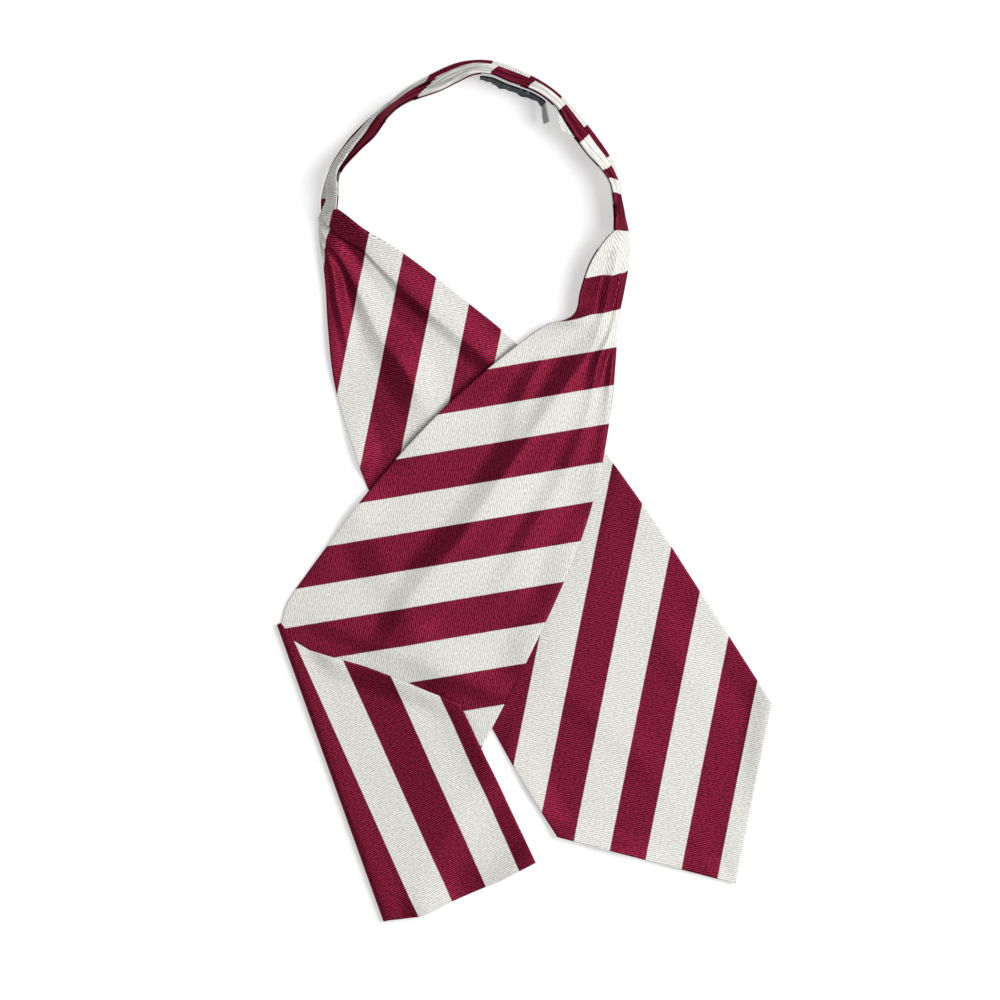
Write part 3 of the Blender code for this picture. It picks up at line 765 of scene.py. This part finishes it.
grid = over_grid(over_rows, BLADE_COLUMNS)
turned = over_rows[:, 0] > FOLD_ROW + 0.5
along, out = from_page(OVER_NECK, -1, grid)
left, right, bottom = edge_distances(grid)
edge = roll(nearest_edge(grid))
from_fold = (grid[..., :2] - fold_left) @ np.array([-fold_line[1], fold_line[0]])
on_end = ((fold_left + fold_right) / 2.0 - grid[..., :2]) @ fold_line
free = (1.0 - ease((along - FREE_UNTIL) / FREE_OVER)) * ease(over_rows / OVER_LIFT_ROWS)
lift = (lifted(left, along, 1.0) + lifted(right, along, 3.0)) * free
end_lift = (lifted(left, from_fold, 0.5) + lifted(right, from_fold, 2.5)
            + END_EDGE_LIFT * lifted(bottom, on_end, 5.0))
end_lift = END_LIFT * end_lift * ease((from_fold - PRESS / 2.0) / PRESS)
lift = np.where(turned[:, None], -end_lift, lift)
folds = fold_height(OVER_FOLDS, along, out) + fold_height(DIP_FOLDS, out, -along)
folds = folds * edge * ~turned[:, None]
end_folds = fold_height(END_FOLDS, from_fold, on_end) * edge * turned[:, None]
lay = stripe_map(OVER_LAY, grid)
lay[..., 0] += NECK_SHIFT * (1.0 - ease(over_rows / NECK_SHIFT_ROWS))
lay[turned] = stripe_map(OVER_LAY, unfolded(grid[turned]))
row_run = grid[:, -1:] - grid[:, :1]
row_run = row_run / np.linalg.norm(row_run, axis=-1, keepdims=True)
inset = END_INSET * (1.0 - edge) * turned[:, None] * np.where(left < right, 1.0, -1.0)
over_face = lay_cloth("over_blade_front_silk", grid + row_run * inset[..., None],
                      wall(edge) + folds + lift - END_BELOW * end_folds, True, lay,
                      normals=seam_normals(grid, True, (over_rows, over_seam)))
lay = stripe_map(END_LAY, unfolded(grid))
lay[turned] = stripe_map(END_LAY, grid[turned])
over_back = lay_cloth("over_blade_back_silk", grid,
                      wall(edge) - THROUGH * folds - lift + end_folds, False, lay,
                      normals=seam_normals(grid, False, (over_rows, over_seam)))

# %% [markdown]
# ## The neckband's panels
#
# Three walls of silk: the face with its tucks, the stretch where the edge is turned over
# beside the under blade, and the facing inside. The facing flares out a little near the
# table, so its own stripes show as a thin line round the outside of the loop.

# %% The neckband's tucks
TUCKS = (0.34, 0.46, 0.58, 0.70, 0.82, 0.93)     # where they run, as shares of the width
TUCK_RISE = 0.75
TUCK_HALF_WIDTH = 1.7
TUCK_WANDER = ((0.022, 1.1, 2.0), (0.015, 2.7, 1.0))     # share, turn by row, turn by tuck
BAND_RADIUS = 0.7        # the band's narrow edges roll over tighter than the blades'
BAND_NARROWEST = 5.5


def tuck_rise(k, across):
    """Long tucks that wander a little as they run round the band."""
    rise = 0.0
    for i, tuck in enumerate(TUCKS):
        wander = sum(share * np.sin(by_row * k + by_tuck * i)
                     for share, by_row, by_tuck in TUCK_WANDER)
        x = np.clip((across - tuck - wander) * BAND_WIDTH / TUCK_HALF_WIDTH, -1.0, 1.0)
        rise = rise + TUCK_RISE * np.cos(math.pi * x / 2.0) ** 2
    return rise


def band_grid(rows, first, last, count):
    width = np.full(len(rows), BAND_WIDTH) * (last(rows[:, 0]) - first(rows[:, 0]))
    inside = shares(np.maximum(width, BAND_NARROWEST), count)
    across = mix(first(rows), last(rows), inside)
    return across, band_sheet(np.broadcast_to(rows, across.shape), across)


def band_weave(rows, across):
    """The band's own places in millimetres: across it, and along it."""
    run = rows * band_length / BAND_LAST
    return np.stack([across * BAND_WIDTH, np.broadcast_to(run, across.shape)], axis=-1)


print(len(TUCKS), "tucks,", TUCK_RISE, "mm high")

# %% The turned stretch
TURN_LAST = 7.0          # the row where its slanted fold has run out
TURN_RISE = PLY + GAP    # it lies on the band's face
TURN_RISE_ROW, TURN_RISE_ROWS = 0.8, 1.8
TURNED_EDGE = 0.34       # its outer edge, as a share of its own width
TURNED_START, TURNED_ACROSS, TURNED_ALONG = 1.0, 20.0, 10.0      # it shows one ivory stripe


def turned_edge(k):
    return row_at(BAND_ROWS, k).turn_share


def turned_first(k):
    return TURNED_EDGE * ease(np.asarray(k)) * turned_edge(k)


turned_rows = np.linspace(0.0, TURN_LAST, 120)[:, None]
across, grid = band_grid(turned_rows, turned_first, turned_edge, 26)
rise = TURN_RISE * ease((turned_rows - TURN_RISE_ROW) / TURN_RISE_ROWS)
edge = roll(nearest_edge(grid), BAND_RADIUS)
one_stripe = np.stack([TURNED_START + across * TURNED_ACROSS,
                       np.broadcast_to(turned_rows * TURNED_ALONG, across.shape)], axis=-1)
tucks = tuck_rise(turned_rows, across) * edge * ease(turned_rows / SEAM_ROWS)
turned_part = lay_cloth("neckband_turned_silk", grid, wall(edge) + rise + tucks, False,
                        one_stripe,
                        normals=seam_normals(grid, False, (turned_rows, -under_seam)))

# %% The band's face
FACE_FIRST = 3.0         # the face starts at this row, below the turned stretch
FACE_UNDER_TURN = 0.30   # share of the band's width by which it reaches below that stretch
FACE_EDGE = 0.28         # its outer edge further round, as a share of the width
FACE_EDGE_END, FACE_EDGE_ROWS = 0.4, 3.0         # at the over blade it takes the whole width
TUCKS_START = 1.5        # rows over which the tucks rise beyond the turned stretch
RIBS_ALONG, RIBS_ACROSS = 0.2, 0.5               # gathered cloth: its ribs are drawn out
END_TILT, END_MIDDLE = 0.14, 55.0
END_EDGES = ((159.0, 8.0), (182.75, 7.0), (190.9, 6.0), (199.6, 5.0))
END_FROM, END_BLEND = 196.0, 6.0


def face_first(k):
    k = np.asarray(k, float)
    under_turn = np.where(k < TURN_LAST + 1, turned_edge(k) - FACE_UNDER_TURN, 0.0)
    end = ease((BAND_LAST - k - FACE_EDGE_END) / FACE_EDGE_ROWS)
    return np.maximum(under_turn, FACE_EDGE * end)


def inner_edge(k):
    return np.ones_like(np.asarray(k, float))


def face_lay(grid):
    """The band's own stripes. Towards the over blade they crowd, and each edge is placed."""
    lay = stripe_map(BAND_LAY, grid)
    down = grid[..., 1] + END_TILT * (grid[..., 0] - END_MIDDLE)
    placed = STRIPE * np.interp(down, *np.array(END_EDGES).T)
    near_end = ease((END_FROM - down) / END_BLEND) * (grid[..., 0] > 0.0)
    lay[..., 0] = mix(lay[..., 0], placed, near_end)
    return lay


face_rows = np.linspace(FACE_FIRST, BAND_LAST, 300)[:, None]
across, grid = band_grid(face_rows, face_first, inner_edge, 34)
edge = roll(nearest_edge(grid, last_row=False), BAND_RADIUS)
tucks = tuck_rise(face_rows, across) * ease((face_rows - TURN_LAST) / TUCKS_START)
tucks = tucks * ease((BAND_LAST - face_rows) / SEAM_ROWS) * edge
long_ribs = band_weave(face_rows, across)[..., ::-1] * (RIBS_ALONG, RIBS_ACROSS)
band_face = lay_cloth("neckband_front_silk", grid, wall(edge) + tucks, False,
                      face_lay(grid), long_ribs,
                      normals=seam_normals(grid, False, (BAND_LAST - face_rows, -over_seam)))

# %% The band's facing
FACING_TOP = 0.95        # it ends a little below the band's inner edge
PEEK_ROW, PEEK_ROWS, PEEK_REACH = 15.7, 0.5, 0.25        # but looks out past it here
FLARE, FLARE_REACH, FLARE_CURVE = 2.0, 0.32, 1.5         # it flares out near the table
FLARE_END, FLARE_ROWS = 0.6, 3.4
FACING_SHIFT = 17.94     # its stripes are this far on from the face's
LEFT_EDGES = ((0.05, -5.0), (0.9, -4.0), (2.65, -3.0), (6.05, -2.0), (7.5, -1.3))
LEFT_UNTIL, LEFT_BLEND = 7.0, 1.5


def outer_edge(k):
    return np.zeros_like(np.asarray(k, float))


def facing_edge(k):
    return FACING_TOP + PEEK_REACH * np.exp(-((np.asarray(k) - PEEK_ROW) / PEEK_ROWS) ** 2)


def facing_lay(grid, rows):
    """The facing's stripes. Beside the turned stretch its visible edge is placed by rows."""
    lay = stripe_map(BAND_LAY, grid)
    placed = STRIPE * np.interp(rows, *np.array(LEFT_EDGES).T)
    lay[..., 0] = mix(placed, lay[..., 0] - FACING_SHIFT, ease((rows - LEFT_UNTIL) / LEFT_BLEND))
    return lay


facing_rows = np.linspace(0.0, BAND_LAST, 320)[:, None]
across, grid = band_grid(facing_rows, outer_edge, facing_edge, 14)
edge = roll(nearest_edge(grid, last_row=False), BAND_RADIUS)
flare = FLARE * np.maximum(1.0 - across / FLARE_REACH, 0.0) ** FLARE_CURVE
flare = flare * ease(facing_rows) * ease((BAND_LAST - facing_rows - FLARE_END) / FLARE_ROWS)
facing = lay_cloth("neckband_facing_silk", grid, wall(edge) - flare, True,
                   facing_lay(grid, facing_rows),
                   band_weave(facing_rows, across),
                   normals=seam_normals(grid, True, (facing_rows, -under_seam),
                                        (BAND_LAST - facing_rows, -over_seam)))

# %% [markdown]
# ## The label
#
# A folded strip of navy ribbon hangs from the band's inner edge, one end turned out so
# that its grey reverse shows. It carries no words here.

# %% The label's ribbon
LABEL_WALL = 1.0
LABEL_ROWS = (11.3, 14.55)
LABEL_TOP = 0.93         # it hangs from here, as a share of the band's width
LABEL_DROP = 12.5
LABEL_RUN = 16.0         # millimetres of ribbon to one row of the band
LABEL_SWING, SWING_FIRST = 2.3, 0.25     # how far it swings into the loop, and at its start
LABEL_START, LABEL_OPENS = 11.35, 0.9    # it swings out from this row, over so many rows
LABEL_WAVES = ((0.22, 6.1), (0.12, 14.0))        # share of the swing, and turn by row
LABEL_TURNED = (2.6, -12.4)              # its turned end runs this way
LABEL_FACES = (-1.0, -0.2)               # and hangs out this way


def band_normal(k, across):
    """The way the band's wall faces at one place, towards the loop."""
    step = 0.004
    down_rows = band_sheet(k + step, across) - band_sheet(k - step, across)
    over_columns = band_sheet(k, across + step) - band_sheet(k, across - step)
    n = np.cross(over_columns, down_rows)
    return n / np.linalg.norm(n, axis=-1, keepdims=True)


def label_sheet(k, down):
    """The ribbon behind the band, and past its last row the end that is turned out."""
    first, last = LABEL_ROWS
    k, down = np.broadcast_arrays(np.asarray(k, float), np.asarray(down, float))
    along = np.minimum(k, last)
    behind = -GAP / 2 - PLY - GAP - LABEL_WALL
    top = np.full(k.shape, LABEL_TOP)
    p = band_sheet(along, top) + band_normal(along, top) * behind
    row = row_at(BAND_ROWS, along)
    inward = point(row.inner_x - row.outer_x, row.inner_y - row.outer_y, 0.0)
    inward = inward / np.linalg.norm(inward, axis=-1, keepdims=True)
    past = np.maximum(k - last, 0.0)[..., None]
    p = p + np.array([*LABEL_TURNED, 0.0]) * past
    inward = mix(inward, np.array([*LABEL_FACES, 0.0]), ease(past))
    inward = inward / np.linalg.norm(inward, axis=-1, keepdims=True)
    swing = LABEL_SWING * mix(SWING_FIRST, 1.0, ease((along - LABEL_START) / LABEL_OPENS))
    swing = swing * sum((share * np.sin(turn * along) for share, turn in LABEL_WAVES), 1.0)
    p = p + inward * (swing * down)[..., None]
    p[..., 2] -= LABEL_DROP * down
    return p


label_rows = np.concatenate([np.linspace(*LABEL_ROWS, 60),
                             LABEL_ROWS[1] + np.linspace(0.05, 1.0, 20)])[:, None]
label_down = np.linspace(0.0, 1.0, 14)[None, :]
grid = label_sheet(label_rows, label_down)
rise = np.full(grid.shape[:2], LABEL_WALL / 2)
run = np.broadcast_to(label_rows * LABEL_RUN, rise.shape)
label_lay = np.stack([run, np.broadcast_to(label_down * LABEL_DROP, rise.shape)], axis=-1)
label = lay_cloth("label_ribbon", grid, rise, True, label_lay, skin=LABEL_WALL)

# %% [markdown]
# ## The stripes as a shared effect
#
# Seven pieces wear the same silk, so the stripes are one node group. It reads the cloth's
# own map, nudges it by the weave so that a stripe's edge is slightly toothed, and puts
# out a mask: 1 on ivory and 0 on maroon.

# %% Node helpers
def link(tree, source, target):
    tree.links.new(source, target)


def number(tree, operation, *inputs):
    node = tree.nodes.new("ShaderNodeMath")
    node.operation = operation
    for i, value in enumerate(inputs):
        if isinstance(value, (int, float)):
            node.inputs[i].default_value = value
        else:
            link(tree, value, node.inputs[i])
    return node.outputs[0]


def speckle(tree, vector, scale, detail=2.0):
    node = tree.nodes.new("ShaderNodeTexNoise")
    node.inputs["Scale"].default_value = scale
    node.inputs["Detail"].default_value = detail
    link(tree, vector, node.inputs["Vector"])
    return node.outputs["Fac"]


def stretch(tree, vector, scale):
    node = tree.nodes.new("ShaderNodeMapping")
    node.inputs["Scale"].default_value = scale
    link(tree, vector, node.inputs["Vector"])
    return node.outputs[0]


def new_group(name, inputs, outputs):
    tree = bpy.data.node_groups.new(name, "ShaderNodeTree")
    for label_text, kind in inputs:
        tree.interface.new_socket(label_text, in_out="INPUT", socket_type=kind)
    for label_text, kind in outputs:
        tree.interface.new_socket(label_text, in_out="OUTPUT", socket_type=kind)
    return tree, tree.nodes.new("NodeGroupInput"), tree.nodes.new("NodeGroupOutput")


# %% Stripes
RIB = 1.16               # spacing of the ribs in millimetres
RIB_TURN = 2.0 * math.pi / (RIB * MM)
TOOTH = 0.13             # how far one rib's thread oversteps a stripe's edge
DRIFT_SCALE = (60.0, 160.0, 1.0)
STRIPE_BLUR = 0.03       # the colours change while the wave passes from minus this to this

stripes, into, out_of = new_group(
    "repp stripes", [("Cloth", "NodeSocketVector"), ("Width", "NodeSocketFloat")],
    [("Ivory", "NodeSocketFloat")])
parts = stripes.nodes.new("ShaderNodeSeparateXYZ")
link(stripes, into.outputs["Cloth"], parts.inputs[0])
rib = number(stripes, "SINE", number(stripes, "MULTIPLY", parts.outputs[1], RIB_TURN))
drift = speckle(stripes, stretch(stripes, into.outputs["Cloth"], DRIFT_SCALE), 1.0, 1.0)
drift = number(stripes, "SUBTRACT", drift, 0.5)
u = number(stripes, "ADD", parts.outputs[0], number(stripes, "MULTIPLY", rib, TOOTH * MM))
u = number(stripes, "ADD", u, number(stripes, "MULTIPLY", drift, 2.0 * TOOTH * MM))
turns = number(stripes, "MULTIPLY", number(stripes, "DIVIDE", u, into.outputs["Width"]), math.pi)
wave = number(stripes, "SINE", turns)
soft = stripes.nodes.new("ShaderNodeMapRange")
soft.interpolation_type = "SMOOTHSTEP"
soft.inputs["From Min"].default_value = -STRIPE_BLUR
soft.inputs["From Max"].default_value = STRIPE_BLUR
link(stripes, wave, soft.inputs["Value"])
link(stripes, soft.outputs[0], out_of.inputs["Ivory"])
print("stripes", STRIPE, "mm wide")

# %% [markdown]
# ## The ribbed weave
#
# Repp silk has fine ribs square to its stripes, a little over a millimetre apart, and
# they read as short wavy dashes because single threads catch the light. The group puts
# out a height for the bump and a shade for the colour: painted shade between the ribs,
# painted glints on single threads and a tone that differs at random from dash to dash.

# %% Ribs
WOBBLE_SCALE, DASH_SCALE = (330.0, 220.0, 1.0), (560.0, 900.0, 1.0)
WOBBLE = 1.0             # how far a rib wanders off its line, in millimetres
RIB_HEIGHT = 0.5         # a rib's share of the height, beside the dashes'
RIB_SHADE, DASH_SHADE = 0.42, 1.4        # how much of the shade each gives

ribs, into, out_of = new_group(
    "repp ribs", [("Cloth", "NodeSocketVector")],
    [("Height", "NodeSocketFloat"), ("Painted thread shade", "NodeSocketFloat")])
parts = ribs.nodes.new("ShaderNodeSeparateXYZ")
link(ribs, into.outputs["Cloth"], parts.inputs[0])
wobble = speckle(ribs, stretch(ribs, into.outputs["Cloth"], WOBBLE_SCALE), 1.0, 1.5)
aside = number(ribs, "MULTIPLY", number(ribs, "SUBTRACT", wobble, 0.5), WOBBLE * MM)
shifted = number(ribs, "ADD", parts.outputs[1], aside)
# painted shade: the colour is darker between the ribs and lighter on their crests
crest = number(ribs, "SINE", number(ribs, "MULTIPLY", shifted, RIB_TURN))
dash = speckle(ribs, stretch(ribs, into.outputs["Cloth"], DASH_SCALE), 1.0, 2.0)
height = number(ribs, "ADD", number(ribs, "MULTIPLY", crest, RIB_HEIGHT), dash)
link(ribs, height, out_of.inputs["Height"])
# painted glints: dashes of noise that lighten single threads, beside the ribs' painted shade
dash_shade = number(ribs, "MULTIPLY", number(ribs, "SUBTRACT", dash, 0.5), DASH_SHADE)
mixed = number(ribs, "ADD", number(ribs, "MULTIPLY", crest, RIB_SHADE), dash_shade)
link(ribs, number(ribs, "ADD", mixed, 0.5), out_of.inputs["Painted thread shade"])
print("ribs", RIB, "mm apart")

# %% [markdown]
# ## Silk
#
# The silk's own shader: two colours chosen by the stripe mask, each with painted shade and
# painted glints from thread to thread, and the ribs as a fine bump. Dyed silk shines in its
# own colour, so the maroon threads are partly metallic. The ivory ones hardly gleam.

# %% The silk material
# each colour's dark end is its painted shade between the ribs, its light end its painted glint on
# single threads
MAROON_DARK, MAROON_LIGHT = (0.015, 0.001, 0.002), (0.29, 0.018, 0.056)
IVORY_DARK, IVORY_LIGHT = (0.40, 0.40, 0.375), (0.83, 0.825, 0.78)
MAROON_GLOSS = 0.8
BUMP_STRENGTH, BUMP_DEPTH = 0.35, 0.25
SILK_ROUGHNESS, SILK_SPECULAR = 0.55, 0.2
SILK_TINT = (0.55, 0.3, 0.35, 1.0)


def blend(tree, factor, a, b):
    node = tree.nodes.new("ShaderNodeMix")
    node.data_type = "RGBA"
    link(tree, factor, node.inputs["Factor"])
    for socket, value in ((node.inputs[6], a), (node.inputs[7], b)):
        if isinstance(value, tuple):
            socket.default_value = (*value, 1.0)
        else:
            link(tree, value, socket)
    return node.outputs[2]


def use_group(tree, group):
    node = tree.nodes.new("ShaderNodeGroup")
    node.node_tree = group
    return node


def map_of(tree, name):
    node = tree.nodes.new("ShaderNodeUVMap")
    node.uv_map = name
    return node.outputs[0]


def striped_silk(name):
    material = bpy.data.materials.new(name)
    material.use_nodes = True
    tree = material.node_tree
    shader = tree.nodes["Principled BSDF"]
    mask = use_group(tree, stripes)
    mask.inputs["Width"].default_value = STRIPE * MM
    link(tree, map_of(tree, "stripes"), mask.inputs["Cloth"])
    weave = use_group(tree, ribs)
    link(tree, map_of(tree, "weave"), weave.inputs["Cloth"])
    # the weave's painted shade and glints set each colour between its dark and light ends
    maroon = blend(tree, weave.outputs["Painted thread shade"], MAROON_DARK, MAROON_LIGHT)
    ivory = blend(tree, weave.outputs["Painted thread shade"], IVORY_DARK, IVORY_LIGHT)
    link(tree, blend(tree, mask.outputs["Ivory"], maroon, ivory), shader.inputs["Base Color"])
    bump = tree.nodes.new("ShaderNodeBump")
    bump.inputs["Strength"].default_value = BUMP_STRENGTH
    bump.inputs["Distance"].default_value = BUMP_DEPTH * MM
    link(tree, weave.outputs["Height"], bump.inputs["Height"])
    link(tree, bump.outputs[0], shader.inputs["Normal"])
    on_maroon = number(tree, "SUBTRACT", 1.0, mask.outputs["Ivory"])
    link(tree, number(tree, "MULTIPLY", on_maroon, MAROON_GLOSS), shader.inputs["Metallic"])
    shader.inputs["Roughness"].default_value = SILK_ROUGHNESS
    shader.inputs["Specular IOR Level"].default_value = SILK_SPECULAR
    shader.inputs["Specular Tint"].default_value = SILK_TINT
    return material


silk = striped_silk("striped_silk")
silk_pieces = (under_face, under_back, over_face, over_back, turned_part, band_face, facing)
for piece in silk_pieces:
    piece.data.materials.append(silk)
print(silk.name, "on", len(silk_pieces), "pieces")

# %% [markdown]
# ## The label's cloth
#
# A woven ribbon of navy threads, with small paler flecks where its pattern would be. The
# end that is turned out shows the ribbon's reverse, which is plain grey.

# %% The label's material
NAVY, FLECK, REVERSE = (0.003, 0.004, 0.010), (0.07, 0.11, 0.14), (0.27, 0.28, 0.29)
FLECK_SCALE = (420.0, 140.0, 1.0)
FLECK_FROM, FLECK_STEP = 0.56, 9.0       # the noise shows as a fleck above this, this sharply
REVERSE_FROM = (LABEL_ROWS[1] + 0.1) * LABEL_RUN * MM


def label_cloth(name):
    """Navy ribbon with paler flecks on its front and a plain grey reverse at its turned end."""
    material = bpy.data.materials.new(name)
    material.use_nodes = True
    tree = material.node_tree
    shader = tree.nodes["Principled BSDF"]
    cloth = map_of(tree, "weave")
    fleck = speckle(tree, stretch(tree, cloth, FLECK_SCALE), 1.0, 1.0)
    fleck = number(tree, "MULTIPLY", number(tree, "SUBTRACT", fleck, FLECK_FROM), FLECK_STEP)
    fleck = number(tree, "MINIMUM", number(tree, "MAXIMUM", fleck, 0.0), 1.0)
    navy = blend(tree, fleck, NAVY, FLECK)
    parts = tree.nodes.new("ShaderNodeSeparateXYZ")
    link(tree, cloth, parts.inputs[0])
    turned = number(tree, "GREATER_THAN", parts.outputs[0], REVERSE_FROM)
    link(tree, blend(tree, turned, navy, REVERSE), shader.inputs["Base Color"])
    shader.inputs["Roughness"].default_value = 0.6
    shader.inputs["Specular IOR Level"].default_value = 0.15
    return material


label.data.materials.append(label_cloth("label_cloth"))
print("the label's ribbon is", LABEL_DROP, "mm wide")

# %% [markdown]
# ## What each piece stands for
#
# Every shell replaces its solid and rides on the part's one body. The size each was cut
# to before it was sewn and laid is listed beside it.

# %% Replace and ride
Cut = namedtuple("Cut", "piece node width length area")
cuts = [
    Cut(under_face, "under_blade_face", 0.156, 0.481, 0.0560),
    Cut(under_back, "under_blade_back", 0.156, 0.481, 0.0560),
    Cut(over_face, "over_blade_face", 0.156, 0.512, 0.0560),
    Cut(over_back, "over_blade_back", 0.156, 0.512, 0.0560),
    Cut(turned_part, "neckband_turned", 0.025, 0.078, 0.0015),
    Cut(band_face, "neckband_face", 0.025, 0.245, None),
    Cut(facing, "neckband_facing", 0.025, 0.280, None),
    Cut(label, "label", 0.0125, 0.068, None),
]
for cut in cuts:
    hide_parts(cut.node)
    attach(cut.piece, "root")
print(len(cuts), "pieces declared as cloth")

# %% [markdown]
# ## Table, light and camera
#
# The table is a plain white sheet, so bright that only the cloth's soft shadows show on
# it. One large soft light stands to the upper right, the sky fills the rest, and the
# camera looks straight down from far enough that nothing seems to lean.

# %% The table
TABLE_HALF = 3.0         # metres
TABLE_GREY, TABLE_GLOW = 0.55, 0.46

bm = bmesh.new()
bmesh.ops.create_grid(bm, x_segments=1, y_segments=1, size=TABLE_HALF)
floor_mesh = bpy.data.meshes.new("floor")
bm.to_mesh(floor_mesh)
bm.free()
floor = bpy.data.objects.new("floor", floor_mesh)
bpy.context.scene.collection.objects.link(floor)
paper = bpy.data.materials.new("white_table")
paper.use_nodes = True
paper_shader = paper.node_tree.nodes["Principled BSDF"]
paper_shader.inputs["Base Color"].default_value = (TABLE_GREY, TABLE_GREY, TABLE_GREY, 1.0)
paper_shader.inputs["Roughness"].default_value = 0.9
paper_shader.inputs["Emission Color"].default_value = (1.0, 1.0, 1.0, 1.0)
paper_shader.inputs["Emission Strength"].default_value = TABLE_GLOW
floor_mesh.materials.append(paper)
print("table", 2 * TABLE_HALF, "m wide")

# %% Light and camera
SKY_STRENGTH = 0.40
SOFTBOX_SIZE, SOFTBOX_ENERGY = 1.1, 47.0
SOFTBOX_PLACE = (1.15, 0.2, 1.75)        # to the right, a little above, and aimed at the middle
CAMERA_PLACE = (-0.0149, -0.0052, 3.401)
LENS, SENSOR = 200.0, 36.0

world = bpy.data.worlds.new("studio")
bpy.context.scene.world = world
world.use_nodes = True
sky = world.node_tree.nodes["Background"]
sky.inputs["Color"].default_value = (1.0, 1.0, 1.0, 1.0)
sky.inputs["Strength"].default_value = SKY_STRENGTH
key_data = bpy.data.lights.new("softbox", "AREA")
key_data.shape = "SQUARE"
key_data.size = SOFTBOX_SIZE
key_data.energy = SOFTBOX_ENERGY
key = bpy.data.objects.new("softbox", key_data)
key.location = SOFTBOX_PLACE
key.rotation_euler = (-Vector(key.location)).to_track_quat("-Z", "Y").to_euler()
bpy.context.scene.collection.objects.link(key)

eye_data = bpy.data.cameras.new("view_from_above")
eye_data.lens = LENS
eye_data.sensor_width = SENSOR
eye = bpy.data.objects.new("view_from_above", eye_data)
eye.location = CAMERA_PLACE
bpy.context.scene.collection.objects.link(eye)
bpy.context.scene.camera = eye
bpy.context.scene.view_settings.view_transform = "Standard"
print("camera", CAMERA_PLACE[2], "m above the table")
